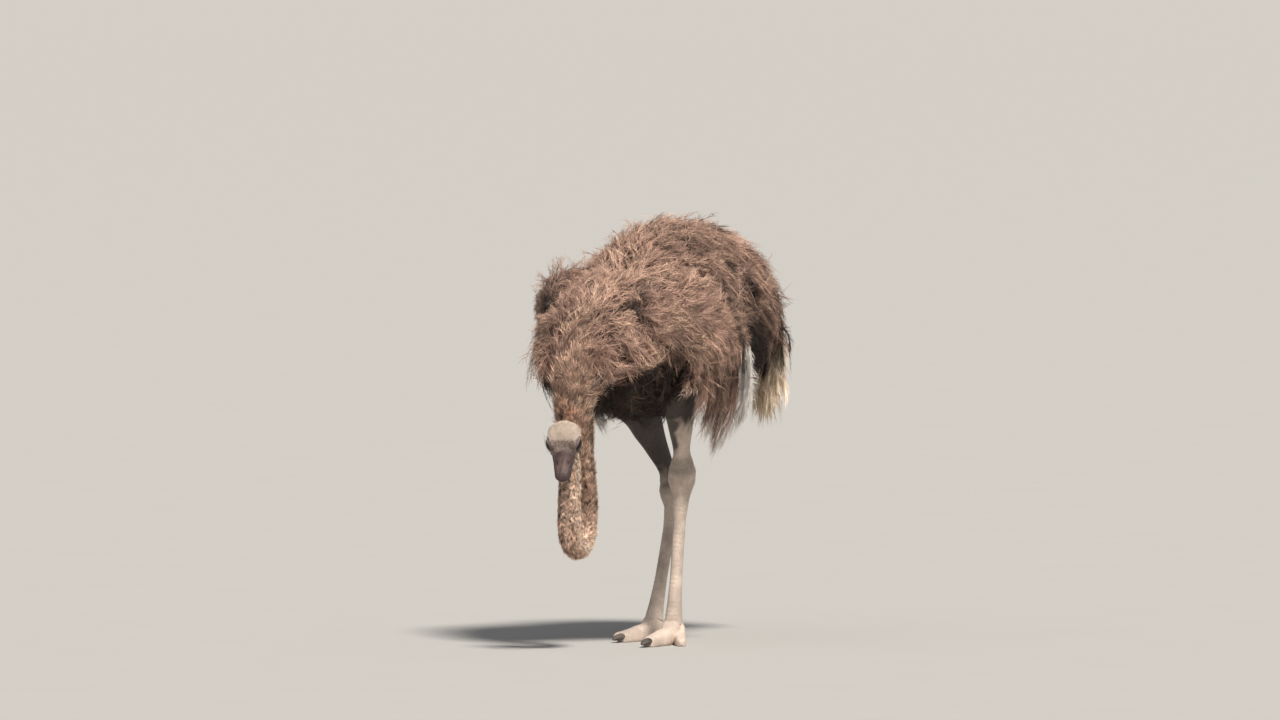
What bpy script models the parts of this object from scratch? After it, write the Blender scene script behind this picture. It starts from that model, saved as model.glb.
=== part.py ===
"""A common ostrich hen, life size, walking slowly with her head down to feed.

The bird faces -Y and her left side is +X. Every body part is one closed solid whose surface is
the outside of the plumage where she has any. Sizes are metres. The parts are modelled in the
bird's own frame, and one empty then sets them on the floor with the origin under their middle.
"""

import math

import bpy
import numpy as np

GAP = 0.0003  # space kept between neighbouring solids
SIDES = (("left", 1), ("right", -1))

# Trunk with its plumage.
BACK_HEIGHT = 1.262
TRUNK_FRONT = -0.392
TRUNK_REAR = 0.640
CHEST_ROUND = 0.130
RUMP_ROUND = 0.190
TRUNK_RINGS = 20
TRUNK_SIDES = 24
# place along the body, half width, top, bottom, height of the widest level
TRUNK_KEYS = (
    (-0.392, 0.165, 0.985, 0.735, 0.845),
    (-0.300, 0.196, 1.045, 0.715, 0.855),
    (-0.200, 0.222, 1.095, 0.685, 0.875),
    (-0.100, 0.240, 1.135, 0.662, 0.885),
    (0.000, 0.254, 1.192, 0.652, 0.890),
    (0.090, 0.260, 1.248, 0.652, 0.900),
    (0.200, 0.260, BACK_HEIGHT, 0.665, 0.910),
    (0.400, 0.238, 1.236, 0.725, 0.955),
    (0.520, 0.212, 1.185, 0.800, 0.980),
    (0.640, 0.190, 1.125, 0.850, 1.000),
)

# Wings, loosely folded: a lobe on each flank, with long soft plumes hanging from its lower edge.
WING_FRONT = -0.285
WING_REAR = 0.225
WING_END_ROUND = 0.070
WING_RINGS = 12
WING_SIDES = 14
# Above and below its middle the wing bends in towards the body.
WING_MIDDLE = 0.880
WING_LEAN = 1.3
WING_TUCK = 0.8
# place along the body, distance of the middle from the midline, half thickness, top, bottom
WING_KEYS = (
    (-0.285, 0.150, 0.050, 1.030, 0.900),
    (-0.240, 0.176, 0.056, 1.065, 0.850),
    (-0.180, 0.206, 0.062, 1.095, 0.805),
    (-0.100, 0.240, 0.068, 1.105, 0.745),
    (0.000, 0.260, 0.070, 1.095, 0.700),
    (0.100, 0.268, 0.066, 1.050, 0.680),
    (0.165, 0.266, 0.058, 0.975, 0.680),
    (0.225, 0.256, 0.048, 0.880, 0.700),
)
# place and lowest point of each hanging plume
WING_PLUMES = ((-0.085, 0.715), (-0.018, 0.655), (0.050, 0.600), (0.118, 0.557), (0.178, 0.585),
               (0.216, 0.652))
# how much higher each wing is carried, and how much further it reaches back
WING_CARRIAGE = {"left": (0.0, 1.0), "right": (0.060, 1.16)}
PLUME_LENGTH = 0.240
PLUME_HALF_WIDTH = 0.046
PLUME_HALF_DEPTH = 0.034
PLUME_SIDES = 7
PLUME_RINGS = 6
PLUME_SET_BACK = 0.030
PLUME_BOW = 0.010
PLUME_SWAY = 0.008

# Tail: a drooping brush, longer on each side than in the middle.
TAIL_ROOT = (0.430, 1.100)
TAIL_BOW = (0.0, 0.095, 0.055)
# distance from the midline, place of the tip, its height, half width
TAIL_PLUMES = (
    (0.000, 0.655, 0.775, 0.118),
    (0.072, 0.652, 0.662, 0.050),
    (0.122, 0.610, 0.706, 0.044),
    (-0.076, 0.650, 0.688, 0.050),
    (-0.124, 0.604, 0.732, 0.044),
)
TAIL_HALF_DEPTH = 0.050
TAIL_PINCH = 0.75

# Neck: out of the breast, down to the bend and up to the back of the skull.
NECK_ROUTE = (
    (0.000, -0.215, 0.930),
    (0.000, -0.315, 0.815),
    (0.000, -0.335, 0.700),
    (0.000, -0.315, 0.590),
    (0.000, -0.288, 0.480),
    (0.000, -0.276, 0.390),
    (0.006, -0.298, 0.325),
    (0.015, -0.348, 0.303),
    (0.023, -0.395, 0.340),
    (0.028, -0.408, 0.420),
    (0.034, -0.414, 0.510),
    (0.042, -0.440, 0.585),
    (0.0525, -0.478, 0.622),
)
# share of the route, radius
NECK_RADII = ((0.00, 0.090), (0.12, 0.078), (0.24, 0.062), (0.36, 0.051), (0.48, 0.043), (0.62, 0.038),
              (0.80, 0.035), (1.00, 0.034))
NECK_SPLITS = (0.0, 0.30, 0.47, 0.64, 0.80, 1.0)
NECK_SIDES = 14
NECK_RING_STEP = 0.028

# Head, in its own frame: +X to the bird's left, -Y to the bill tip, +Z out of the crown, eyes at y = 0.
HEAD_CENTRE = (0.075, -0.511, 0.608)
HEAD_YAW = math.radians(28)
HEAD_PITCH = math.radians(58)
SKULL_BACK = -0.078
BILL_BASE = 0.034
BILL_TIP = 0.116
MOUTH_LEVEL = -0.011
# distance forward of the eyes, half width, top, bottom
HEAD_KEYS = (
    (-0.078, 0.034, 0.026, -0.030),
    (-0.046, 0.0470, 0.0400, -0.040),
    (-0.018, 0.0500, 0.0430, -0.043),
    (0.006, 0.0460, 0.0385, -0.041),
    (0.022, 0.0385, 0.0285, -0.035),
    (0.042, 0.0310, 0.0175, -0.028),
    (0.070, 0.0265, 0.0090, -0.0215),
    (0.098, 0.0225, 0.0035, -0.0175),
    (0.116, 0.0170, -0.0020, -0.0150),
)
SKULL_ROUND = 0.026
BILL_ROUND = 0.014
OVERBITE = 0.003
HEAD_SIDES = 18
HEAD_RINGS = 11
BILL_RINGS = 8
EYE_RADIUS = 0.0245
EYE_OUT = 0.0275
EYE_UP = 0.007
LID_THICK = 0.0042
LID_OUT = 0.0155
LID_FORWARD = 0.30
LID_UP = 0.10
LID_SIDES = 16
LID_RINGS = 7

# Legs: knee, ankle and the joint above the toes. The left foot is the forward one.
JOINT_HEIGHT = 0.074
LEGS = {
    "left": {"knee": (0.165, -0.030, 0.900), "ankle": (0.090, 0.117, 0.503),
             "ball": (0.082, 0.080, JOINT_HEIGHT), "turn": math.radians(5)},
    "right": {"knee": (-0.150, 0.110, 0.860), "ankle": (-0.084, 0.364, 0.440),
              "ball": (-0.076, 0.225, JOINT_HEIGHT), "turn": math.radians(-4)},
}
# 0 at the knee, 1 at the ankle, 2 at the toes' joint; half width across, half depth fore and aft
LEG_KEYS = (
    (0.00, 0.078, 0.100),
    (0.25, 0.072, 0.092),
    (0.50, 0.047, 0.062),
    (0.70, 0.031, 0.041),
    (0.84, 0.024, 0.031),
    (0.93, 0.034, 0.039),
    (1.00, 0.041, 0.046),
    (1.06, 0.038, 0.043),
    (1.17, 0.024, 0.031),
    (1.34, 0.018, 0.023),
    (1.64, 0.0175, 0.0215),
    (1.86, 0.0215, 0.025),
    (2.00, 0.0285, 0.0300),
)
LEG_SIDES = 14
LEG_RINGS = 25
HOCK_BEND = 0.16
HOCK_RING = 12

# Toes: length, half width, height at the joint. The inner toe is the big one; there is no third.
BIG_TOE = (0.168, 0.0285, 0.094)
SMALL_TOE = (0.112, 0.0180, 0.070)
SMALL_TOE_SPREAD = math.radians(30)
SMALL_TOE_OUT = 0.020
TOE_HEEL = 0.034
SOLE_DROP = 0.006
TOE_SIDES = 10
TOE_RINGS = 11
# share of the toe, share of its width, share of its height
TOE_KEYS = (
    (0.00, 0.50, 0.30),
    (0.05, 0.82, 0.62),
    (0.12, 1.00, 0.88),
    (0.20, 1.08, 0.96),
    (0.28, 1.02, 0.78),
    (0.38, 0.92, 0.56),
    (0.55, 1.02, 0.49),
    (0.72, 0.86, 0.42),
    (0.86, 0.88, 0.37),
    (0.95, 0.72, 0.32),
    (1.00, 0.45, 0.24),
)
CLAW = (0.044, 0.0135, 0.022)
CLAW_INSET = 0.006
CLAW_CLEAR = 0.0008
CLAW_SIDES = 10
CLAW_RINGS = 5

# colour, roughness
FINISHES = {
    "plumage": ((0.27, 0.19, 0.14), 0.90),
    "pale_plumes": ((0.42, 0.34, 0.27), 0.90),
    "down": ((0.52, 0.40, 0.31), 0.90),
    "skin": ((0.52, 0.42, 0.32), 0.60),
    "horn": ((0.22, 0.17, 0.15), 0.35),
    "eye": ((0.02, 0.012, 0.010), 0.05),
}


# Shared shape functions ---------------------------------------------------------------------------


def smooth(keys, at):
    """Values between the rows of keys, by a cubic that never swings past them."""
    rows = np.array(keys, float)
    x, values = rows[:, 0], rows[:, 1:]
    slope = np.diff(values, axis=0) / np.diff(x)[:, None]
    level = slope[:-1] * slope[1:] <= 0
    total = np.where(level, 1.0, slope[:-1] + slope[1:])
    inner = np.where(level, 0.0, 2 * slope[:-1] * slope[1:] / total)
    tangent = np.vstack([slope[:1], inner, slope[-1:]])
    at = np.clip(np.atleast_1d(np.asarray(at, float)), x[0], x[-1])
    i = np.clip(np.searchsorted(x, at) - 1, 0, len(x) - 2)
    span = (x[i + 1] - x[i])[:, None]
    s = (at - x[i])[:, None] / span
    start = values[i] * (1 + 2 * s) * (1 - s) ** 2 + tangent[i] * span * s * (1 - s) ** 2
    end = values[i + 1] * s**2 * (3 - 2 * s) + tangent[i + 1] * span * s**2 * (s - 1)
    return start + end


def curve_through(points, count):
    """count points, evenly spaced along the Catmull-Rom curve through the points, and its length."""
    p = np.array(points, float)
    p = np.vstack([2 * p[0] - p[1], p, 2 * p[-1] - p[-2]])
    s = np.linspace(0, 1, 24, endpoint=False)[:, None]
    fine = []
    for a, b, c, d in zip(p, p[1:], p[2:], p[3:]):
        bend = (2 * a - 5 * b + 4 * c - d) * s**2 + (3 * b - a - 3 * c + d) * s**3
        fine.append(0.5 * (2 * b + (c - a) * s + bend))
    fine = np.vstack([*fine, p[-2:-1]])
    run = np.concatenate([[0], np.cumsum(np.linalg.norm(np.diff(fine, axis=0), axis=1))])
    even = np.linspace(0, run[-1], count)
    return np.stack([np.interp(even, run, fine[:, k]) for k in range(3)], axis=1), run[-1]


def unit(v):
    return v / np.linalg.norm(v, axis=-1, keepdims=True)


def crowded_ends(count):
    """Shares from 0 to 1, close together at both ends."""
    return (1 - np.cos(np.linspace(0, math.pi, count))) / 2


def round_end(distance, reach, least=0.09):
    """The part of full size left at a distance from a form's end, as on an ellipsoid of that reach."""
    inside = np.clip(1 - distance / reach, 0, 1)
    return np.maximum(np.sqrt(1 - inside**2), least)


def section(sides, power=1.0):
    """Cosines and sines round a section; a power under 1 makes it squarer."""
    angle = np.linspace(0, 2 * math.pi, sides, endpoint=False)
    c, s = np.cos(angle), np.sin(angle)
    return np.sign(c) * np.abs(c) ** power, np.sign(s) * np.abs(s) ** power


def tube_rings(centres, across, wide, deep, sides, power=1.0):
    """Rings square to a path, wide along the across direction and deep at right angles to it."""
    along = unit(np.gradient(centres, axis=0))
    side = unit(across - (across * along).sum(1, keepdims=True) * along)
    ahead = np.cross(side, along)
    c, s = section(sides, power)
    spread = (wide[:, None] * c)[..., None] * side[:, None]
    return centres[:, None] + spread + (deep[:, None] * s)[..., None] * ahead[:, None]


def add_mesh(name, points, faces, collection):
    mesh = bpy.data.meshes.new(name)
    mesh.from_pydata(points.tolist(), [], faces)
    mesh.update()
    mesh.shade_smooth()
    mesh.set_sharp_from_angle(angle=math.radians(50))
    made = bpy.data.objects.new(name, mesh)
    collection.objects.link(made)
    return made


def loft(name, rings, collection):
    """A closed skin over rings of points (count, sides, 3), with a flat cap on each end.

    It is made of triangles, so that a solid and its grown copy bend along the same diagonals.
    """
    count, sides, _ = rings.shape
    faces = []
    for i in range(count - 1):
        for j in range(sides):
            a, b = i * sides + j, i * sides + (j + 1) % sides
            faces.append((a, b, b + sides))
            faces.append((a, b + sides, a + sides))
    faces.append(tuple(range(sides))[::-1])
    faces.append(tuple((count - 1) * sides + j for j in range(sides)))
    corner, beside, beyond = rings[count // 2, 0], rings[count // 2, 1], rings[count // 2 + 1, 0]
    outward = np.dot(np.cross(beside - corner, beyond - corner), corner - rings[count // 2].mean(0))
    if outward < 0:
        faces = [face[::-1] for face in faces]
    return add_mesh(name, rings.reshape(-1, 3), faces, collection)


def combine(operation, target, others):
    for other in others:
        modifier = target.modifiers.new(f"{operation.lower()}_{other.name}", "BOOLEAN")
        modifier.operation = operation
        modifier.object = other


def cut(target, *others):
    combine("DIFFERENCE", target, others)


def join(target, *others):
    combine("UNION", target, others)


# Trunk, wings and tail ----------------------------------------------------------------------------


def trunk(name, collection, grow=0.0):
    y = TRUNK_FRONT + (TRUNK_REAR - TRUNK_FRONT) * crowded_ends(TRUNK_RINGS)
    wide, top, bottom, level = smooth(TRUNK_KEYS, y).T
    fullness = round_end(y - TRUNK_FRONT, CHEST_ROUND) * round_end(TRUNK_REAR - y, RUMP_ROUND)
    c, s = section(TRUNK_SIDES)
    x = (wide * fullness + grow)[:, None] * c
    rise = (top - level) * fullness + grow
    drop = (level - bottom) * fullness + grow
    z = level[:, None] + np.where(s > 0, rise[:, None], drop[:, None]) * s
    y[0] -= grow
    y[-1] += grow
    return loft(name, np.stack([x, np.broadcast_to(y[:, None], x.shape), z], axis=2), collection)


def plume(name, root, tip, bow, wide, deep, across, collection):
    """One drooping lobe of plumes, fullest past its middle, with a rounded tip."""
    root, tip = np.array(root), np.array(tip)
    fine, _ = curve_through([root, (root + tip) / 2 + bow, tip], 49)
    share = 1 - np.linspace(1, 0, PLUME_RINGS) ** 2
    centres = fine[np.round(48 * share).astype(int)]
    fullness = (0.65 + 0.50 * share) * np.sqrt(np.maximum(1 - share**6, 0.04))
    across = np.broadcast_to(np.array(across, float), centres.shape)
    return loft(name, tube_rings(centres, across, wide * fullness, deep * fullness, PLUME_SIDES), collection)


def wing_middle(out, z):
    """How far from the midline the wing's middle is at a height."""
    above = np.maximum(z - WING_MIDDLE, 0)
    below = np.maximum(WING_MIDDLE - z, 0)
    return out - WING_LEAN * above**2 - WING_TUCK * below**2


def wing(side_name, side, collection, guides):
    """The folded wing's covering of feathers, joined to the long soft plumes below it."""
    lift, stretch = WING_CARRIAGE[side_name]
    place = WING_FRONT + (WING_REAR - WING_FRONT) * crowded_ends(WING_RINGS)
    out, thick, top, bottom = smooth(WING_KEYS, place).T
    bottom = bottom + lift
    ends = (place - WING_FRONT, WING_REAR - place)
    fullness = round_end(ends[0], WING_END_ROUND, 0.2) * round_end(ends[1], WING_END_ROUND, 0.2)
    c, s = section(WING_SIDES, 0.85)
    z = ((top + bottom) / 2)[:, None] + ((top - bottom) / 2 * fullness)[:, None] * s
    x = wing_middle(out[:, None], z) + (thick * fullness)[:, None] * c
    y = WING_FRONT + (place - WING_FRONT) * stretch
    rings = np.stack([side * x, np.broadcast_to(y[:, None], x.shape), z], axis=2)
    made = loft(f"wing_{side_name}", rings, collection)
    for i, (place, lowest) in enumerate(WING_PLUMES):
        out_here = smooth(WING_KEYS, place)[0, 0] + PLUME_SWAY * math.sin(2.1 * i)
        y = WING_FRONT + (place - WING_FRONT) * stretch
        low, high = lowest + lift, lowest + lift + PLUME_LENGTH
        root = (side * wing_middle(out_here, high), y - PLUME_SET_BACK, high)
        tip = (side * wing_middle(out_here, low), y, low)
        join(made, plume(f"plume_{side_name}_{i}", root, tip, (side * PLUME_BOW, 0, 0), PLUME_HALF_WIDTH,
                         PLUME_HALF_DEPTH, (0, 1, 0), guides))
    return made


def tail(collection, guides):
    made = None
    root_y, root_z = TAIL_ROOT
    for i, (x, tip_y, lowest, wide) in enumerate(TAIL_PLUMES):
        name, home = (f"tail_plume_{i}", guides) if made else ("tail", collection)
        root = (TAIL_PINCH * x, root_y, root_z)
        lobe = plume(name, root, (x, tip_y, lowest), TAIL_BOW, wide, TAIL_HALF_DEPTH, (1, 0, 0), home)
        if made:
            join(made, lobe)
        made = made or lobe
    return made


# Neck and head ------------------------------------------------------------------------------------


def neck_length(name, start, end, collection, grow=0.0):
    """The stretch of the neck between two shares of its route."""
    fine, whole = curve_through(NECK_ROUTE, 241)
    inset = GAP / 2 / whole
    rings = max(4, round((end - start) * whole / NECK_RING_STEP) + 1)
    share = np.linspace(start + inset, end - inset, rings)
    at = np.linspace(0, 1, len(fine))
    slope = np.gradient(fine, axis=0)
    centres = np.stack([np.interp(share, at, fine[:, k]) for k in range(3)], axis=1)
    along = unit(np.stack([np.interp(share, at, slope[:, k]) for k in range(3)], axis=1))
    side = unit(np.array((1.0, 0.0, 0.0)) - along[:, :1] * along)
    ahead = np.cross(side, along)
    radius = smooth(NECK_RADII, share)[:, 0] + grow
    c, s = section(NECK_SIDES)
    around = c[:, None] * side[:, None] + s[:, None] * ahead[:, None]
    return loft(name, centres[:, None] + radius[:, None, None] * around, collection)


def head_turn():
    """Columns that turn the head's own frame into the bird's: pitched down, then yawed to her left."""
    cy, sy = math.cos(HEAD_YAW), math.sin(HEAD_YAW)
    cp, sp = math.cos(HEAD_PITCH), math.sin(HEAD_PITCH)
    left = (cy, sy, 0)
    nape = (-cp * sy, cp * cy, sp)
    crown = (sp * sy, -sp * cy, cp)
    return np.array([left, nape, crown]).T


def in_head(points):
    return np.asarray(points, float) @ head_turn().T + np.array(HEAD_CENTRE)


def head_rings(y, grow=0.0, lowest=-1.0, highest=1.0):
    """Sections of the head at distances y forward of the eyes, clipped between two levels."""
    wide, top, bottom = smooth(HEAD_KEYS, y).T
    fullness = round_end(y - SKULL_BACK, SKULL_ROUND, 0.25) * round_end(BILL_TIP - y, BILL_ROUND, 0.25)
    middle = (top + bottom) / 2
    c, s = section(HEAD_SIDES, 0.92)
    x = (wide * fullness + grow)[:, None] * c
    half = (top - bottom) / 2 * fullness + grow
    z = np.clip(middle[:, None] + half[:, None] * s, lowest, highest)
    return in_head(np.stack([x, np.broadcast_to(-y[:, None], x.shape), z], axis=2))


def ball(name, centre, radius, collection):
    bpy.ops.mesh.primitive_uv_sphere_add(segments=14, ring_count=9, radius=radius, location=centre)
    made = bpy.context.object
    made.name = made.data.name = name
    for old in list(made.users_collection):
        old.objects.unlink(made)
    collection.objects.link(made)
    made.data.shade_smooth()
    return made


def lid(name, side, eye_centre, collection):
    """The flesh round an eye: a ball cut off square where the lids part, facing out and a little forward."""
    out = unit(np.array((side, -LID_FORWARD, LID_UP)))
    across = unit(np.cross(out, (0.0, 0.0, 1.0)))
    radius = EYE_RADIUS + LID_THICK
    turn = np.linspace(0.12 * math.pi, math.pi - math.acos(LID_OUT / radius), LID_RINGS)[:, None]
    c, s = section(LID_SIDES)
    sides = across * c[:, None] + np.cross(out, across) * s[:, None]
    rings = -radius * np.cos(turn)[..., None] * out + radius * np.sin(turn)[..., None] * sides
    return loft(name, eye_centre + rings @ head_turn().T, collection)


def eye_and_lid(side_name, side, skull, parts, guides):
    """The eyeball in its socket, and the lids round it, joined to the skull."""
    eye_centre = in_head((side * EYE_OUT, 0, EYE_UP))
    join(skull, lid(f"lid_{side_name}", side, eye_centre, guides))
    ball(f"eye_{side_name}", eye_centre, EYE_RADIUS, parts)
    return ball(f"socket_{side_name}", eye_centre, EYE_RADIUS + GAP, guides)


def head(parts, guides):
    bend = np.sin(np.linspace(0, math.pi / 2, BILL_RINGS))
    back = 1 - np.cos(np.linspace(0, math.pi / 2, HEAD_RINGS))
    skull_y = SKULL_BACK + (BILL_BASE - GAP - SKULL_BACK) * back
    upper_y = BILL_BASE + (BILL_TIP - BILL_BASE) * bend
    lower_y = BILL_BASE + (BILL_TIP - OVERBITE - BILL_BASE) * bend
    skull = loft("head", head_rings(skull_y), parts)
    sockets = [eye_and_lid(name, side, skull, parts, guides) for name, side in SIDES]
    cut(skull, *sockets)
    loft("bill_upper", head_rings(upper_y, lowest=MOUTH_LEVEL + GAP / 2), parts)
    loft("bill_lower", head_rings(lower_y, highest=MOUTH_LEVEL - GAP / 2), parts)
    return loft("head_guide", head_rings(skull_y, GAP), guides)


# Legs ---------------------------------------------------------------------------------------------


def toe_rings(root, turn, size, grow=0.0):
    """A toe that runs along the ground from under the joint, with a flat sole and pads below."""
    length, half_wide, joint_high = size
    forward = np.array((math.sin(turn), -math.cos(turn), 0.0))
    side = np.array((math.cos(turn), math.sin(turn), 0.0))
    share = crowded_ends(TOE_RINGS)
    wide, high = smooth(TOE_KEYS, share).T
    wide = half_wide * wide + grow
    high = joint_high * high + grow
    reach = share * (length + TOE_HEEL + 2 * grow) - TOE_HEEL - grow
    centres = np.array(root) * (1, 1, 0) + forward * reach[:, None]
    c, s = section(TOE_SIDES, 0.8)
    middle = 0.42 * high
    z = middle[:, None] + np.where(s > 0, (high - middle)[:, None], (middle + SOLE_DROP)[:, None]) * s
    points = centres[:, None] + (wide[:, None] * c)[..., None] * side
    points[..., 2] = np.clip(z, -6 * grow, JOINT_HEIGHT - GAP + 6 * grow)
    return points


def claw_rings(root, turn):
    """The blunt nail ahead of the big toe, a little bent down, just clear of the ground."""
    length, wide, high = CLAW
    forward = np.array((math.sin(turn), -math.cos(turn), 0.0))
    side = np.array((math.cos(turn), math.sin(turn), 0.0))
    share = np.linspace(0, 1, CLAW_RINGS)
    taper = np.sqrt(np.maximum(1 - share**2.2, 0.03))
    centres = np.array(root) * (1, 1, 0) + forward * (BIG_TOE[0] - CLAW_INSET + share[:, None] * length)
    c, s = section(CLAW_SIDES, 0.9)
    z = (high * (0.76 - 0.30 * share**2))[:, None] + (0.42 * high * taper)[:, None] * s
    points = centres[:, None] + (wide * taper)[:, None, None] * c[:, None] * side
    points[..., 2] = np.maximum(z, CLAW_CLEAR)
    return points


def leg_rings(joints, grow=0.0):
    """Rings from the knee to the toes' joint, with the bend at the ankle rounded off."""
    knee, ankle, toes = (np.array(joints[key]) for key in ("knee", "ankle", "ball"))
    at = np.linspace(0, 2, LEG_RINGS)[:, None]
    centres = np.where(at < 1, knee + (ankle - knee) * at, ankle + (toes - ankle) * (at - 1))
    u = np.clip((at - 1 + HOCK_BEND) / (2 * HOCK_BEND), 0, 1)
    before, after = ankle - (ankle - knee) * HOCK_BEND, ankle + (toes - ankle) * HOCK_BEND
    bent = before * (1 - u) ** 2 + 2 * ankle * u * (1 - u) + after * u**2
    centres = np.where(np.abs(at - 1) < HOCK_BEND, bent, centres)
    wide, deep = smooth(LEG_KEYS, at[:, 0]).T
    across = np.broadcast_to(np.array((1.0, 0.0, 0.0)), centres.shape)
    rings = tube_rings(centres, across, wide + grow, deep + grow, LEG_SIDES)
    rings[-1, :, 2] = JOINT_HEIGHT
    return rings


def leg(side_name, side, parts, guides):
    """Drumstick, tarsus, the two toes and the nail of one leg."""
    joints = LEGS[side_name]
    turn = joints["turn"]
    rings = leg_rings(joints)
    step = rings[HOCK_RING].mean(0) - rings[HOCK_RING - 1].mean(0)
    tarsus = rings[HOCK_RING:].copy()
    tarsus[0] += unit(step) * GAP
    loft(f"drumstick_{side_name}", rings[: HOCK_RING + 1], parts)
    loft(f"drumstick_guide_{side_name}", leg_rings(joints, GAP)[:HOCK_RING], guides)
    loft(f"tarsus_{side_name}", tarsus, parts)

    root = np.array(joints["ball"])
    small_root = root + (side * SMALL_TOE_OUT, 0, 0)
    small_turn = turn + side * SMALL_TOE_SPREAD
    loft(f"toe_big_{side_name}", toe_rings(root, turn, BIG_TOE), parts)
    small = loft(f"toe_small_{side_name}", toe_rings(small_root, small_turn, SMALL_TOE), parts)
    claw = loft(f"claw_{side_name}", claw_rings(root, turn), parts)
    cut(small, loft(f"toe_guide_{side_name}", toe_rings(root, turn, BIG_TOE, GAP), guides))
    cut(claw, guides.objects[f"toe_guide_{side_name}"])


# Finish and assembly ------------------------------------------------------------------------------


def finish_of(name):
    groups = (
        ("eye", ("eye",)),
        ("horn", ("bill", "claw")),
        ("skin", ("drumstick", "tarsus", "toe")),
        ("down", ("head", "neck")),
        ("pale_plumes", ("tail",)),
    )
    for finish, starts in groups:
        if name.startswith(starts):
            return finish
    return "plumage"


def paint(parts):
    made = {}
    for name, (colour, roughness) in FINISHES.items():
        material = bpy.data.materials.new(name)
        material.use_nodes = True
        shader = material.node_tree.nodes["Principled BSDF"]
        shader.inputs["Base Color"].default_value = (*colour, 1)
        shader.inputs["Roughness"].default_value = roughness
        shader.inputs["Metallic"].default_value = 0.0
        made[name] = material
    for part in parts.objects:
        part.data.materials.append(made[finish_of(part.name)])


def evaluated_points(part, graph):
    evaluated = part.evaluated_get(graph)
    mesh = evaluated.to_mesh()
    points = np.empty(len(mesh.vertices) * 3)
    mesh.vertices.foreach_get("co", points)
    matrix = np.array(evaluated.matrix_world)
    evaluated.to_mesh_clear()
    return points.reshape(-1, 3) @ matrix[:3, :3].T + matrix[:3, 3]


def stand_on_floor(parts, guides):
    """Hangs everything on one empty, placed so that the origin is on the floor under the bird's middle."""
    bpy.context.view_layer.update()
    graph = bpy.context.evaluated_depsgraph_get()
    points = np.vstack([evaluated_points(part, graph) for part in parts.objects])
    low, high = points.min(0), points.max(0)
    middle = (low + high) / 2
    stand = bpy.data.objects.new("bird", None)
    stand.location = (-middle[0], -middle[1], -low[2])
    for made in [*parts.objects, *guides.objects]:
        made.parent = stand
    parts.objects.link(stand)


def main():
    for old in list(bpy.data.objects):
        bpy.data.objects.remove(old)
    parts = bpy.data.collections.new("ostrich")
    guides = bpy.data.collections.new("cutters")
    for collection in (parts, guides):
        bpy.context.scene.collection.children.link(collection)

    trunk("trunk", parts)
    trunk_guide = trunk("trunk_guide", guides, GAP)
    necks = [
        neck_length(f"neck_{i + 1}", start, end, parts)
        for i, (start, end) in enumerate(zip(NECK_SPLITS, NECK_SPLITS[1:]))
    ]
    cut(necks[0], trunk_guide)
    cut(necks[-1], head(parts, guides))
    cut(tail(parts, guides), trunk_guide)
    for side_name, side in SIDES:
        leg(side_name, side, parts, guides)
        cut(parts.objects[f"drumstick_{side_name}"], trunk_guide)
        cut(wing(side_name, side, parts, guides), trunk_guide, guides.objects[f"drumstick_guide_{side_name}"])

    paint(parts)
    for guide in guides.objects:
        guide.hide_render = True
        guide.display_type = "WIRE"
    stand_on_floor(parts, guides)


main()
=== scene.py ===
import math

import bpy
import numpy as np
from mathutils import Matrix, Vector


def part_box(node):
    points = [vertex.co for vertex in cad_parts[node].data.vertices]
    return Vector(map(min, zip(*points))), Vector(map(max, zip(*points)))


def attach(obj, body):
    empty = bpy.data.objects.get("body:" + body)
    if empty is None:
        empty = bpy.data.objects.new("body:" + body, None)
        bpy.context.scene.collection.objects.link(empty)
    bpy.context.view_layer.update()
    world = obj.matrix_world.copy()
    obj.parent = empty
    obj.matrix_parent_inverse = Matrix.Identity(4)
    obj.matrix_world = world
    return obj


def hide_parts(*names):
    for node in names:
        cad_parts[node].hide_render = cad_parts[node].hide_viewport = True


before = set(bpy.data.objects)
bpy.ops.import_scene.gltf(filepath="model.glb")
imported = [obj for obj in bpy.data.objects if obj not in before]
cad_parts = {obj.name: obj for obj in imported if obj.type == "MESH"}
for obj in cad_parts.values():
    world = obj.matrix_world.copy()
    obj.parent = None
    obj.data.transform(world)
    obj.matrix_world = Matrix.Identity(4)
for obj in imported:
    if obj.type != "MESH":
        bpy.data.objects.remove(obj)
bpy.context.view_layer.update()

# A common ostrich hen with her head low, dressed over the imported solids.
# The bird's own frame faces -Y with her left at +X and the floor at z = 0; placeOfBird moves it into
# the frame of the solids. Every piece is worked out in the bird's own frame and moved at the end.
print("frame: solids loaded")

random = np.random.default_rng(41)

# shapes worked out as whole arrays


def unit(v):
    # each vector divided by its length
    return v / np.maximum(np.linalg.norm(v, axis=-1, keepdims=True), 1e-9)


def keyed(keys, at):
    # values between the rows of keys: a cubic on each span whose end slopes are harmonic means of the
    # neighbouring straight slopes, so that it never swings past a row
    rows = np.array(keys, float)
    x, values = rows[:, 0], rows[:, 1:]
    slope = np.diff(values, axis=0) / np.diff(x)[:, None]
    level = slope[:-1] * slope[1:] <= 0
    total = np.where(level, 1.0, slope[:-1] + slope[1:])
    inner = np.where(level, 0.0, 2 * slope[:-1] * slope[1:] / total)
    tangent = np.vstack([slope[:1], inner, slope[-1:]])
    at = np.clip(np.asarray(at, float), x[0], x[-1])
    i = np.clip(np.searchsorted(x, at) - 1, 0, len(x) - 2)
    span = (x[i + 1] - x[i])[..., None]
    s = (at - x[i])[..., None] / span
    start = values[i] * (1 + 2 * s) * (1 - s) ** 2 + tangent[i] * span * s * (1 - s) ** 2
    end = values[i + 1] * s**2 * (3 - 2 * s) + tangent[i + 1] * span * s**2 * (s - 1)
    return np.moveaxis(start + end, -1, 0)


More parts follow.
